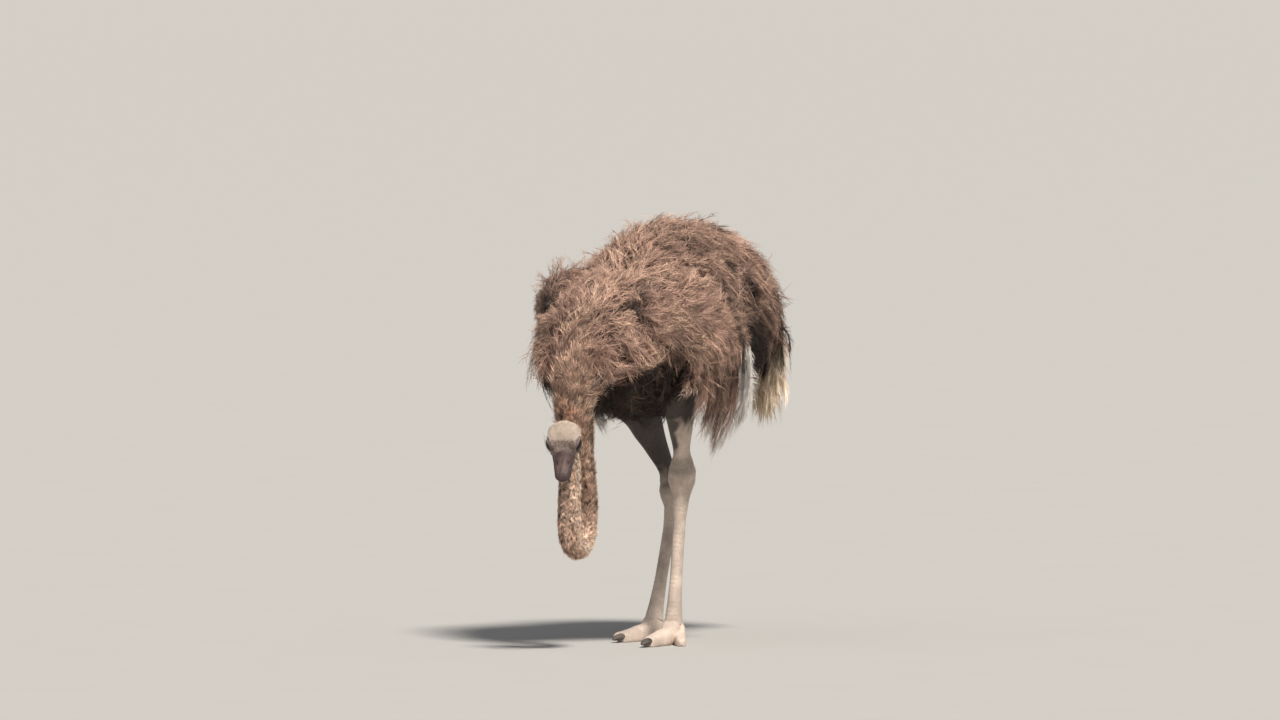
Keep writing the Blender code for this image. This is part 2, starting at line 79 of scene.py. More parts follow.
def routeThrough(points, count):
    # the Catmull-Rom curve through the points, taken at equal lengths along it
    p = np.array(points, float)
    p = np.vstack([2 * p[0] - p[1], p, 2 * p[-1] - p[-2]])
    s = np.linspace(0, 1, 40, endpoint=False)[None, :, None]
    a, b, c, d = (p[k:len(p) - 3 + k, None] for k in range(4))
    fine = b + 0.5 * ((c - a) * s + (2 * a - 5 * b + 4 * c - d) * s**2 + (3 * b - a - 3 * c + d) * s**3)
    fine = np.vstack([fine.reshape(-1, 3), p[-2:-1]])
    run = np.concatenate([[0], np.cumsum(np.linalg.norm(np.diff(fine, axis=0), axis=1))])
    even = np.linspace(0, run[-1], count)
    return np.stack([np.interp(even, run, fine[:, k]) for k in range(3)], axis=1)


def bunched(count):
    # shares from 0 to 1 that crowd towards both ends as half a cosine wave does
    return (1 - np.cos(np.linspace(0, math.pi, count))) / 2


def roundEnd(distance, reach, least=0.0):
    # the share of full size left near a form's end: the edge of a circle of that reach
    inside = np.clip(1 - distance / reach, 0, 1)
    return np.maximum(np.sqrt(1 - inside**2), least)


def turnsOf(count):
    angle = np.linspace(0, 2 * math.pi, count, endpoint=False)
    return np.cos(angle), np.sin(angle)


def waves(points, size, seed, count=7):
    # a soft random value from -1 to 1: the mean of sine waves of about one size in random directions
    own = np.random.default_rng(seed)
    direction = unit(own.normal(size=(count, 3))) * own.uniform(0.7, 1.6, (count, 1)) * 2 * math.pi / size
    return np.sin(points @ direction.T + own.uniform(0, 2 * math.pi, count)).mean(-1) * 1.9


def tube(centres, side, wide, deep, count, power=1.0):
    # rings square to a path: cosine times half width to the side, sine times half depth ahead of it
    along = unit(np.gradient(centres, axis=0))
    side = unit(side - (side * along).sum(1, keepdims=True) * along)
    ahead = np.cross(side, along)
    c, s = turnsOf(count)
    c, s = np.sign(c) * np.abs(c) ** power, np.sign(s) * np.abs(s) ** power
    return (centres[:, None] + (wide[:, None] * c)[..., None] * side[:, None]
            + (deep[:, None] * s)[..., None] * ahead[:, None])


def meshFrom(name, points, faceSets, maps=None, values=None):
    # one mesh from whole arrays: points, face tables of one width each, a map and named values per point
    corners = np.concatenate([faces.ravel() for faces in faceSets]).astype(np.int32)
    widths = np.concatenate([np.full(len(faces), faces.shape[1]) for faces in faceSets])
    mesh = bpy.data.meshes.new(name)
    mesh.vertices.add(len(points))
    mesh.vertices.foreach_set("co", (points + placeOfBird).astype(np.float32).ravel())
    mesh.loops.add(len(corners))
    mesh.loops.foreach_set("vertex_index", corners)
    mesh.polygons.add(len(widths))
    mesh.polygons.foreach_set("loop_start", np.concatenate([[0], np.cumsum(widths)[:-1]]).astype(np.int32))
    mesh.update(calc_edges=True)
    mesh.shade_smooth()
    if maps is not None:
        layer = mesh.uv_layers.new(name="OFBake")
        layer.uv.foreach_set("vector", maps[corners].astype(np.float32).ravel())
    for key, value in (values or {}).items():
        mesh.attributes.new(key, "FLOAT", "POINT").data.foreach_set("value", value.astype(np.float32))
    made = bpy.data.objects.new(name, mesh)
    bpy.context.scene.collection.objects.link(made)
    return made


def closedForm(name, rings):
    # a skin over rings (rows, count, 3), closed at both ends by a fan to the middle of the end ring;
    # if its signed volume is negative all its faces are turned round
    rows, count, _ = rings.shape
    i, j = np.arange(rows - 1)[:, None] * count, np.arange(count)
    a, b = i + j, i + (j + 1) % count
    quads = np.stack([a, b, b + count, a + count], axis=-1).reshape(-1, 4)
    points = np.vstack([rings.reshape(-1, 3), rings[0].mean(0), rings[-1].mean(0)])
    near, far, last = rows * count, rows * count + 1, (rows - 1) * count
    fans = np.vstack([np.stack([(j + 1) % count, j, np.full(count, near)], axis=1),
                      np.stack([last + j, last + (j + 1) % count, np.full(count, far)], axis=1)])
    p = points - points.mean(0)
    volume = (p[quads[:, 0]] * np.cross(p[quads[:, 1]], p[quads[:, 2]])).sum()
    if volume < 0:
        quads, fans = quads[:, ::-1], fans[:, ::-1]
    return meshFrom(name, points, [quads, fans])


def scatter(rings, count, seed, weight=None):
    # places spread evenly over a ring surface: a low-discrepancy pair of shares picks a row by summed
    # area and then a cell along that row, and a small random step breaks the lattice
    own = np.random.default_rng(seed)
    loop = np.concatenate([rings, rings[:, :1]], axis=1)
    down, across = loop[1:, :-1] - loop[:-1, :-1], loop[:-1, 1:] - loop[:-1, :-1]
    area = np.linalg.norm(np.cross(down, across), axis=-1)
    if weight is not None:
        area = area * (weight[1:] + weight[:-1]) / 2
    rowShare = area.sum(1).cumsum() / area.sum()
    cellShare = area.cumsum(1) / np.maximum(area.sum(1, keepdims=True), 1e-12)
    k = np.arange(count)
    jitter = own.uniform(-0.5, 0.5, (2, count)) / math.sqrt(count)
    first = np.mod(0.5 + k * 0.7548776662466927 + jitter[0], 1)
    second = np.mod(0.5 + k * 0.5698402909980532 + jitter[1], 1)
    row = np.minimum(np.searchsorted(rowShare, first), len(rowShare) - 1)
    column = np.minimum((cellShare[row] < second[:, None]).sum(1), rings.shape[1] - 1)
    inRow, inColumn = own.uniform(0, 1, (2, count))
    corner, beyond = loop[row, column], loop[row + 1, column]
    beside, opposite = loop[row, column + 1], loop[row + 1, column + 1]
    u, v = inRow[:, None], inColumn[:, None]
    root = corner * (1 - u) * (1 - v) + beyond * u * (1 - v) + beside * (1 - u) * v + opposite * u * v
    alongRow = unit(beyond - corner + opposite - beside)
    normal = unit(np.cross(alongRow, unit(beside - corner + opposite - beyond)))
    inward = ((root - rings[row].mean(1)) * normal).sum(1) < 0
    normal[inward] *= -1
    share, turn = (row + inRow) / (len(rings) - 1), (column + inColumn) / rings.shape[1]
    return {"root": root, "normal": normal, "along": alongRow, "share": share, "turn": turn,
            "map": np.stack([0.01 + 0.98 * turn, 0.01 + 0.98 * share], axis=1)}


def pick(seats, chosen):
    # the chosen rows of every array of a set of feather seats
    return {key: value[chosen] for key, value in seats.items()}


def layAlong(normal, wanted):
    # the wanted direction with its part along the normal taken out
    return unit(wanted - (wanted * normal).sum(1, keepdims=True) * normal)


def featherPattern(own, barbs, steps, thick, aspect, opening=0.6, barbLong=1.5, wave=0.30, fray=0.3, start=0.04,
                   tipTight=0.35, tipReach=0.35):
    # one feather lying flat: u runs 0 to 1 along the shaft, v is sideways in half widths, w is out of the
    # plane. A barb leaves the shaft at an opening angle that closes towards the tip, narrows to a point as
    # (1 - t) to the power 0.7, and is as long as the vane is wide there: sqrt(sin(pi u)) with a full end.
    side = np.repeat([-1.0, 1.0], barbs)
    rank = np.tile(np.arange(barbs), 2) + own.uniform(-0.3, 0.3, 2 * barbs)
    leave = start + (0.97 - start) * np.clip(rank / (barbs - 0.6), 0, 1) ** 0.9
    reach = barbLong * (0.55 + 0.65 * np.sin(math.pi * np.clip(leave * 0.92 + 0.10, 0, 1)) ** 0.6)
    reach = reach * (1 + own.uniform(-fray, fray, 2 * barbs))
    t = np.linspace(0, 1, steps + 1)
    angle = opening * (1 - tipTight * leave[:, None]) * (1 - 0.35 * t + own.uniform(-0.25, 0.25, (2 * barbs, 1)))
    angle = angle + wave * np.sin(2.6 * t + own.uniform(0, 2 * math.pi, (2 * barbs, 1)))
    stepU, stepV = np.cos(angle) * reach[:, None] / steps, np.sin(angle) * reach[:, None] / steps
    u = leave[:, None] + aspect * (np.cumsum(stepU, axis=1) - stepU)
    v = np.cumsum(stepV, axis=1) - stepV
    half = thick * np.maximum(1 - t, 0) ** 0.7 * own.uniform(0.8, 1.2, (2 * barbs, 1))
    lift = own.uniform(-0.10, 0.16, (2 * barbs, 1)) * t + 0.05 * np.sin(5 * t + own.uniform(0, 6, (2 * barbs, 1)))
    backU, backV = -np.sin(angle) * half * aspect, np.cos(angle) * half
    edges = np.stack([np.stack([u - backU, side[:, None] * (v - backV)], -1),
                      np.stack([u + backU, side[:, None] * (v + backV)], -1)], axis=2)
    flat = edges[:, :steps].reshape(2 * barbs, -1, 2)
    tip = np.stack([u[:, steps:], side[:, None] * v[:, steps:]], -1)
    flat = np.concatenate([flat, tip], axis=1)
    w = np.concatenate([np.repeat(lift[:, :steps], 2, axis=1), lift[:, steps:]], axis=1) - 0.10 * flat[..., 1] ** 2
    perBarb = 2 * steps + 1
    offset = np.arange(2 * barbs)[:, None] * perBarb
    k = np.arange(steps - 1) * 2
    quads = offset[:, :, None] + np.stack([k, k + 1, k + 3, k + 2], -1)[None]
    tris = offset + np.array([[2 * steps - 2, 2 * steps - 1, 2 * steps]])
    right = side > 0
    quads[right], tris[right] = quads[right][..., ::-1], tris[right][:, ::-1]
    quads = quads.reshape(-1, 4)
    shaftAt = np.array([0.0, 0.5, 0.86])
    shaftHalf = np.array([0.05, 0.035, 0.02]) * max(1.0, 3 * thick)
    shaft = np.stack([np.repeat(shaftAt, 2), (shaftHalf[:, None] * [-1, 1]).ravel()], -1)
    base = 2 * barbs * perBarb
    shaftQuads = base + np.array([[2, 3, 1, 0], [4, 5, 3, 2]])
    along = np.concatenate([(leave[:, None] + tipReach * np.concatenate(
        [np.repeat(t[:steps], 2), t[steps:]])[None]).ravel(), shaft[:, 0]])
    strand = np.concatenate([np.repeat(own.uniform(0, 1, 2 * barbs), perBarb), np.full(6, 0.5)])
    points = np.column_stack([np.vstack([flat.reshape(-1, 2), shaft]), np.concatenate([w.ravel(), np.full(6, 0.02)])])
    return {"points": points, "quads": np.vstack([quads, shaftQuads]), "tris": tris,
            "along": np.clip(along, 0, 1), "strand": strand}


def tuftPattern(own, strands, spread=0.55):
    # a tuft of down: strands fan out from one root, each a tapered strip of one bend
    fan = np.linspace(-1, 1, strands) * spread + own.uniform(-0.15, 0.15, strands)
    reach = own.uniform(0.7, 1.0, strands)
    rise = own.uniform(-0.15, 0.25, strands)
    half = own.uniform(0.09, 0.14, strands)
    u = np.stack([np.zeros(strands), np.zeros(strands), 0.5 * reach, 0.5 * reach, reach], 1)
    v = np.stack([-half, half, 0.6 * fan - 0.8 * half, 0.6 * fan + 0.8 * half, 1.1 * fan], 1)
    w = np.stack([0 * fan, 0 * fan, 0.5 * rise, 0.5 * rise, rise], 1)
    offset = np.arange(strands)[:, None] * 5
    return {"points": np.stack([u, v, w], -1).reshape(-1, 3), "quads": offset + np.array([[2, 3, 1, 0]]),
            "tris": offset + np.array([[4, 3, 2]]), "along": u.ravel(),
            "strand": np.repeat(own.uniform(0, 1, strands), 5)}


def gather(seats, clumps, pull, seed, swing=0.30):
    # feathers fall into locks: each takes its nearest lock's middle, turns aside with the others of that
    # lock, and has its tip drawn a share of the way to where the lock's middle feather ends
    own = np.random.default_rng(seed)
    centres = own.choice(len(seats["root"]), clumps, replace=False)
    middles = seats["root"][centres]
    nearest = np.concatenate([((middles**2).sum(1)[None] - 2 * block @ middles.T).argmin(1)
                              for block in np.array_split(seats["root"], 24)])
    turn = own.normal(0, swing, clumps)[nearest]
    seats["lie"] = unit(seats["lie"] + turn[:, None] * np.cross(seats["normal"], seats["lie"]))
    tip = seats["root"] + seats["length"][:, None] * (
        seats["lie"] + seats["normal"] * (seats["lift"] - seats["bend"])[:, None])
    seats["shift"] = (tip[centres][nearest] - tip) * pull
    seats["rise"] = own.uniform(0, 1, clumps)[nearest]
    seats["tone"] = 0.55 * seats["tone"] + 0.45 * own.uniform(-0.25, 1.25, clumps)[nearest]
    return seats


def gridNormals(rings):
    # the cross product of the steps along and across a ring surface, turned outwards
    across = np.roll(rings, -1, axis=1) - np.roll(rings, 1, axis=1)
    normal = unit(np.cross(np.gradient(rings, axis=0), across))
    inward = ((rings - rings.mean(1, keepdims=True)) * normal).sum(-1) < 0
    return np.where(inward[..., None], -normal, normal)


def settle(seats, rings, depth, seed, least=-0.4, most=0.8):
    # bends each feather until its tip stands over the skin by a share of the coat's depth, its lock's own
    # share with a little chance: its
    # height now is the step from the nearest point of the skin to the tip, measured along the normal there
    own = np.random.default_rng(seed)
    near, out = rings[::2, ::2].reshape(-1, 3), gridNormals(rings)[::2, ::2].reshape(-1, 3)
    wanted = depth * (0.35 + 0.50 * seats["rise"] + own.uniform(-0.18, 0.22, len(seats["root"])))
    for _ in range(2):
        tip = seats["root"] + seats["shift"] + seats["length"][:, None] * (
            seats["lie"] + seats["normal"] * (seats["lift"] - seats["bend"])[:, None]
            + (0.0, 0.0, -1.0) * seats["sag"][:, None])
        nearest = np.concatenate([(near**2).sum(1)[None] - 2 * block @ near.T for block in np.array_split(tip, 30)])
        nearest = nearest.argmin(1)
        height = ((tip - near[nearest]) * out[nearest]).sum(1)
        seats["bend"] = seats["bend"] + np.clip((height - wanted) / seats["length"], least, most)
    return seats


def styled(seats, seed, wanted, length, width, lift, bend, sag=0.06, curl=0.22, roll=0.35, vary=0.22, pale=0.0,
           swirl=0.3, astray=0.12, patch=0.20, patchy=0.30):
    # every seat gets its feather's measures, each varied a little. The wanted direction is laid along the
    # skin and turned aside by a soft wave over the body and a little by chance.
    own = np.random.default_rng(seed)
    count = len(seats["root"])
    lie = layAlong(seats["normal"], wanted)
    turn = swirl * waves(seats["root"], 0.16, seed + 1) + own.normal(0, astray, count)
    seats["lie"] = unit(lie + turn[:, None] * np.cross(seats["normal"], lie))
    for key, value, spread in (("length", length, vary), ("width", width, vary), ("lift", lift, 0.3),
                               ("bend", bend, 0.3), ("sag", sag, 0.5)):
        seats[key] = value * own.uniform(1 - spread, 1 + spread, count)
    seats["curl"], seats["roll"] = own.normal(0, curl, count), own.normal(0, roll, count)
    seats["tone"] = 0.5 + patchy * waves(seats["root"], patch, seed + 2) + own.normal(0, 0.28, count)
    seats["pale"] = pale + np.zeros(count)
    seats["shift"], seats["rise"] = np.zeros((count, 3)), np.full(count, 0.5)
    return seats


def arched(root, control, tip, normal, width, pale, seed):
    # seats for long plumes that follow the parabola from root to tip drawn towards a control point: they
    # set off along twice the way to the control point, and the shift at the end carries them to the tip
    own = np.random.default_rng(seed)
    count = len(root)
    start = 2 * (control - root)
    length = np.linalg.norm(start, axis=1)
    nothing = np.zeros(count)
    return {"root": root, "normal": layAlong(unit(start), normal), "lie": unit(start), "length": length,
            "width": width * own.uniform(0.8, 1.15, count), "lift": nothing, "bend": nothing, "sag": nothing,
            "curl": nothing, "roll": own.normal(0, 0.35, count), "shift": root - 2 * control + tip,
            "tone": own.uniform(-0.10, 1.0, count), "pale": pale,
            "map": np.stack([0.02 + 0.96 * (np.arange(count) % 16) / 16, 0.02 + 0.96 * (np.arange(count) // 16)
                             * 16 / count], axis=1)}


# where the coat is painted in shade
shades = {
    # height of the lit coat's lower edge at each place along the body, low on the breast and high on the flank
    "under": ((-0.42, 0.700), (-0.36, 0.762), (-0.30, 0.790), (-0.20, 0.852), (-0.12, 0.868), (0.20, 0.87),
              (0.30, 0.86), (0.42, 0.82), (0.60, 0.76)),
    # the wing's rear edge: height and place
    "rearEdge": ((0.70, 0.190), (0.82, 0.150), (0.87, 0.108), (0.96, 0.066), (1.06, 0.056), (1.10, 0.04)),
    # middle and reach of spots of painted shade, where the shadows between the locks fall
    "shadeSpots": ((0.275, 0.070, 1.055, 0.030), (0.170, 0.150, 1.205, 0.026), (0.130, 0.115, 1.245, 0.020),
               (0.225, 0.270, 0.860, 0.060), (0.215, 0.330, 0.830, 0.065), (0.200, 0.390, 0.800, 0.050),
               (0.255, -0.165, 0.848, 0.020), (0.120, 0.300, 1.235, 0.022), (0.215, 0.215, 1.120, 0.024),
               (0.262, -0.020, 0.985, 0.016), (0.250, 0.075, 0.900, 0.016), (0.228, 0.300, 1.040, 0.022)),
}


def shadeAt(p, hanging):
    # painted shade: how much darker the coat is painted at each point, for the shade under the breast and the
    # flanks, in the crease behind each wing, in the shadows between the locks and a little over the rump; soft
    # waves make the edges uneven. The wings' own feathers hang over the flank and get no painted under-shade there
    x, y, z = np.abs(p[..., 0]), p[..., 1], p[..., 2]
    ragged, broken = 0.012 * waves(p, 0.045, 57, 5), np.clip(0.70 + 0.8 * waves(p, 0.030, 58, 5), 0, 1)
    under = np.clip((keyed(shades["under"], y)[0] + ragged - z) / 0.022, 0, 1) * (1 - hanging)
    edge = keyed(shades["rearEdge"], z)[0] + 0.008 + 0.5 * ragged
    crease = np.exp(-(((y - edge) / 0.021) ** 2)) * np.clip((x - 0.14) / 0.03, 0, 1) * np.clip((1.085 - z) / 0.03, 0, 1)
    behind = np.clip((y - edge) / 0.03, 0, 1) * np.clip((1.16 - z) / 0.10, 0.3, 1)
    shadeSpots = sum(np.exp(-(np.linalg.norm((p - spot[:3]) * (1.0, 1.0, 0.8), axis=-1) / spot[3]) ** 2)
                 for spot in shades["shadeSpots"])
    return 1.2 * np.maximum(under, np.clip(0.9 * crease * broken + 1.3 * shadeSpots, 0, 1)) + 0.34 * behind


def plant(name, seats, patterns, stray=0.12, shade=False, hanging=0.0):
    # one mesh of many feathers. The shaft of each is root + length * (lie u + normal (lift u - bend u^2)
    # + side curl u^2) - down sag u^2 + shift u^2; the pattern's v and w are carried square to it. The tone
    # falls by the painted shade at each point, if asked.
    points, maps, quads, tris = [], [], [], []
    values = {"along": [], "strand": [], "tone": [], "pale": []}
    kinds = random.integers(0, len(patterns), len(seats["root"]))
    base = 0
    for kind, pattern in enumerate(patterns):
        mine = pick(seats, kinds == kind)
        number, size = len(mine["root"]), len(pattern["points"])
        u, v, w = (pattern["points"][None, :, k, None] for k in range(3))
        column = {key: mine[key][:, None, None] for key in ("length", "width", "lift", "bend", "curl", "sag", "roll")}
        lie, normal = mine["lie"][:, None], mine["normal"][:, None]
        side = np.cross(normal, lie)
        length, bend = column["length"], column["bend"]
        down = np.array([0.0, 0.0, -1.0])
        shaft = (mine["root"][:, None] + length * (
            lie * u + normal * (column["lift"] * u - bend * u**2) + side * column["curl"] * u**2
            + down * column["sag"] * u**2) + mine["shift"][:, None] * u**2)
        tangent = unit(lie + normal * (column["lift"] - 2 * bend * u) + side * 2 * column["curl"] * u
                       + down * 2 * column["sag"] * u + mine["shift"][:, None] * 2 * u / length)
        across = unit(np.cross(normal, tangent) + normal * column["roll"])
        above = np.cross(tangent, across)
        place = shaft + column["width"] * (v * across + w * above)
        loose = np.abs(v) * column["width"] * stray
        ruffle = np.stack([waves(place, 0.035, 60 + k, 4) for k in range(3)], -1)
        place = place + loose * ruffle
        for axis, widest in ((0, 0.330), (2, 1.262)):  # what passes this is drawn in to within 12 mm of it
            over = np.maximum(np.abs(place[..., axis]) - widest, 0)
            place[..., axis] -= np.sign(place[..., axis]) * (over - 0.012 * (1 - np.exp(-over / 0.012)))
        points.append(place.reshape(-1, 3))
        patch = np.stack([(pattern["points"][:, 1] + 1.2) / 2.4, pattern["points"][:, 0]], -1)
        maps.append((mine["map"][:, None] + 0.003 * (np.clip(patch, 0, 1) - 0.5)[None]).reshape(-1, 2))
        start = base + np.arange(number)[:, None, None] * size
        quads.append((start + pattern["quads"][None]).reshape(-1, 4))
        tris.append((start + pattern["tris"][None]).reshape(-1, 3))
        values["along"].append(np.tile(pattern["along"], number))
        values["strand"].append(np.tile(pattern["strand"], number))
        tone = np.broadcast_to(mine["tone"][:, None], place.shape[:2])
        values["tone"].append((tone - (shadeAt(place, hanging) if shade else 0.0)).ravel())
        values["pale"].append(np.repeat(mine["pale"], size))
        base += number * size
    made = meshFrom(name, np.vstack(points), [np.vstack(quads), np.vstack(tris)], np.vstack(maps),
                    {key: np.concatenate(value) for key, value in values.items()})
    triangles = 2 * sum(map(len, quads)) + sum(map(len, tris))
    print(f"{name}: {len(seats['root'])} feathers, {triangles} triangles")
    return made


# the body under the feathers

trunkShape = {
    "front": -0.392, "rear": 0.640, "chestRound": 0.130, "rumpRound": 0.190, "coat": 0.046,
    # place along the body, half width, top, bottom, height of the widest level
    "keys": ((-0.392, 0.165, 0.985, 0.735, 0.845), (-0.300, 0.196, 1.045, 0.715, 0.855),
             (-0.200, 0.222, 1.095, 0.685, 0.875), (-0.100, 0.240, 1.135, 0.662, 0.885),
             (0.000, 0.254, 1.192, 0.652, 0.890), (0.090, 0.260, 1.248, 0.652, 0.900),
             (0.200, 0.260, 1.262, 0.665, 0.910), (0.400, 0.238, 1.236, 0.725, 0.955),
             (0.520, 0.212, 1.185, 0.800, 0.980), (0.640, 0.190, 1.125, 0.850, 1.000)),
}


def trunkRings(rows, count, inset):
    # an ellipse at each place along the body whose top, bottom and width follow the keys, all shrunk
    # by the inset and rounded off at the chest and the rump
    front, rear = trunkShape["front"] + inset, trunkShape["rear"] - inset
    y = front + (rear - front) * bunched(rows)
    wide, top, bottom, level = keyed(trunkShape["keys"], y)
    full = roundEnd(y - front, trunkShape["chestRound"], 0.03) * roundEnd(rear - y, trunkShape["rumpRound"], 0.03)
    c, s = turnsOf(count)
    x = ((wide - inset) * full)[:, None] * c
    rise, drop = (top - level - inset) * full, (level - bottom - inset) * full
    z = level[:, None] + np.where(s > 0, rise[:, None], drop[:, None]) * s
    return np.stack([x, np.broadcast_to(y[:, None], x.shape), z], axis=2)


headShape = {
    "centre": (0.075, -0.511, 0.608), "yaw": math.radians(28), "pitch": math.radians(58),
    "back": 0.078, "billBase": 0.034, "billTip": 0.116, "mouth": -0.011,
    "eyeRadius": 0.0245, "eyeOut": 0.0275, "eyeUp": 0.007, "coat": 0.0035,
    # distance forward of the eyes, half width, top, bottom
    "keys": ((-0.078, 0.034, 0.026, -0.030), (-0.046, 0.0470, 0.0400, -0.040),
             (-0.018, 0.0500, 0.0430, -0.043), (0.006, 0.0460, 0.0385, -0.041),
             (0.022, 0.0385, 0.0285, -0.035), (0.042, 0.0310, 0.0175, -0.028),
             (0.070, 0.0265, 0.0090, -0.0215), (0.098, 0.0225, 0.0035, -0.0175),
             (0.116, 0.0170, -0.0020, -0.0150)),
}
cosYaw, sinYaw = math.cos(headShape["yaw"]), math.sin(headShape["yaw"])
cosPitch, sinPitch = math.cos(headShape["pitch"]), math.sin(headShape["pitch"])
headLeft = np.array([cosYaw, sinYaw, 0.0])
headNape = np.array([-cosPitch * sinYaw, cosPitch * cosYaw, sinPitch])
headCrown = np.array([sinPitch * sinYaw, -sinPitch * cosYaw, cosPitch])
headAxes = np.array([headLeft, headNape, headCrown])
headCentre = np.array(headShape["centre"])


def fromHead(points):
    # from the head's own frame (left, nape, crown; the bill at -Y) to the bird's
    return np.asarray(points, float) @ headAxes + headCentre


def toHead(points):
    return (np.asarray(points, float) - headCentre) @ headAxes.T


# the bird's own frame is set into the solids' frame by where the left eye is
eyeBox = [np.array(corner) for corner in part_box("eye_left")]
eyeSpot = np.array([headShape["eyeOut"], 0.0, headShape["eyeUp"]])
placeOfBird = np.zeros(3)
placeOfBird = (eyeBox[0] + eyeBox[1]) / 2 - fromHead(eyeSpot)
placeOfBird[2] = 0.0

neckShape = {
    "route": ((0.000, -0.215, 0.930), (0.000, -0.315, 0.815), (0.000, -0.335, 0.700), (0.000, -0.315, 0.590),
              (0.000, -0.288, 0.480), (0.000, -0.276, 0.390), (0.006, -0.298, 0.325), (0.015, -0.348, 0.303),
              (0.023, -0.395, 0.340), (0.028, -0.408, 0.420), (0.034, -0.414, 0.510), (0.042, -0.440, 0.585),
              (0.0525, -0.478, 0.622)),
    # share of the route, radius with the feathers, depth of the feathers
    "radii": ((0.00, 0.090, 0.008), (0.12, 0.078, 0.014), (0.24, 0.062, 0.016), (0.36, 0.051, 0.015),
              (0.48, 0.043, 0.011), (0.62, 0.038, 0.008), (0.80, 0.035, 0.006), (1.00, 0.034, 0.005)),
    "around": 144, "rows": 170, "blend": 0.016,
}
neckRoute = routeThrough(neckShape["route"], 401)
neckRadius, neckCoat = keyed(neckShape["radii"], np.linspace(0, 1, 401))
neckInner = neckRadius - neckCoat
pivot = np.array([0.0, -0.020, -0.060])  # in the air under the throat, where the fan of rings turns
eyeSides = (("left", 1.0), ("right", -1.0))


def softLeast(a, b, blend):
    # the smaller of two distances, rounded off where they are nearly equal
    near = np.clip(0.5 + 0.5 * (b - a) / blend, 0, 1)
    return b + (a - b) * near - blend * near * (1 - near)


def headDistance(p):
    # about how far a point in the head's frame is outside the flesh: the skull's keyed sections, the
    # mounds over the eyes, the cheeks and the top of the neck, run together softly
    f = -p[..., 1]
    wide, top, bottom = keyed(headShape["keys"], f)
    coat = headShape["coat"] * np.clip((headShape["billBase"] - f) / 0.02, 0.15, 1)
    full = roundEnd(f + headShape["back"] - coat, 0.030, 0.05)
    middle, half, wide = (top + bottom) / 2, ((top - bottom) / 2 - coat) * full, (wide - coat) * full
    level = ((np.abs(p[..., 0]) / wide) ** 2.1 + (np.abs(p[..., 2] - middle) / half) ** 2.1) ** (1 / 2.1)
    skull = (level - 1) * np.minimum(wide, half)
    skull = np.maximum(skull, -(f + headShape["back"] - coat))
    for _, side in eyeSides:
        eye = np.array([side * headShape["eyeOut"], 0.0, headShape["eyeUp"]])
        gaze = unit(p - eye) @ unit(np.array([side, -0.30, 0.10]))
        sunk = 0.0060 * np.clip((gaze - 0.55) / 0.15, 0, 1)
        mound = np.linalg.norm((p - eye) * (1.0, 0.86, 1.0), axis=-1) - (headShape["eyeRadius"] + 0.0016 - sunk)
        skull = softLeast(skull, mound, 0.006)
        brow = np.linalg.norm((p - eye - (side * 0.004, 0.004, 0.019)) * (1.0, 0.50, 1.4), axis=-1) - 0.0125
        skull = softLeast(skull, brow, 0.008)
        ear = np.linalg.norm((p - (side * 0.044, 0.042, -0.010)) * (0.6, 1.0, 0.8), axis=-1)
        skull = skull + 0.0035 * np.exp(-(ear / 0.0055) ** 2) - 0.0012 * np.exp(-((ear - 0.0085) / 0.003) ** 2)
        mouth = np.exp(-((p[..., 2] - headShape["mouth"] - 0.10 * np.clip(0.02 - f, 0, 1)) / 0.0016) ** 2)
        skull = skull + 0.0008 * mouth * np.clip((f + 0.012) / 0.012, 0, 1)
    low = toHead(neckRoute[300:])
    apart = np.linalg.norm(p[..., None, :] - low, axis=-1) - neckInner[300:]
    return softLeast(skull, apart.min(-1), neckShape["blend"])


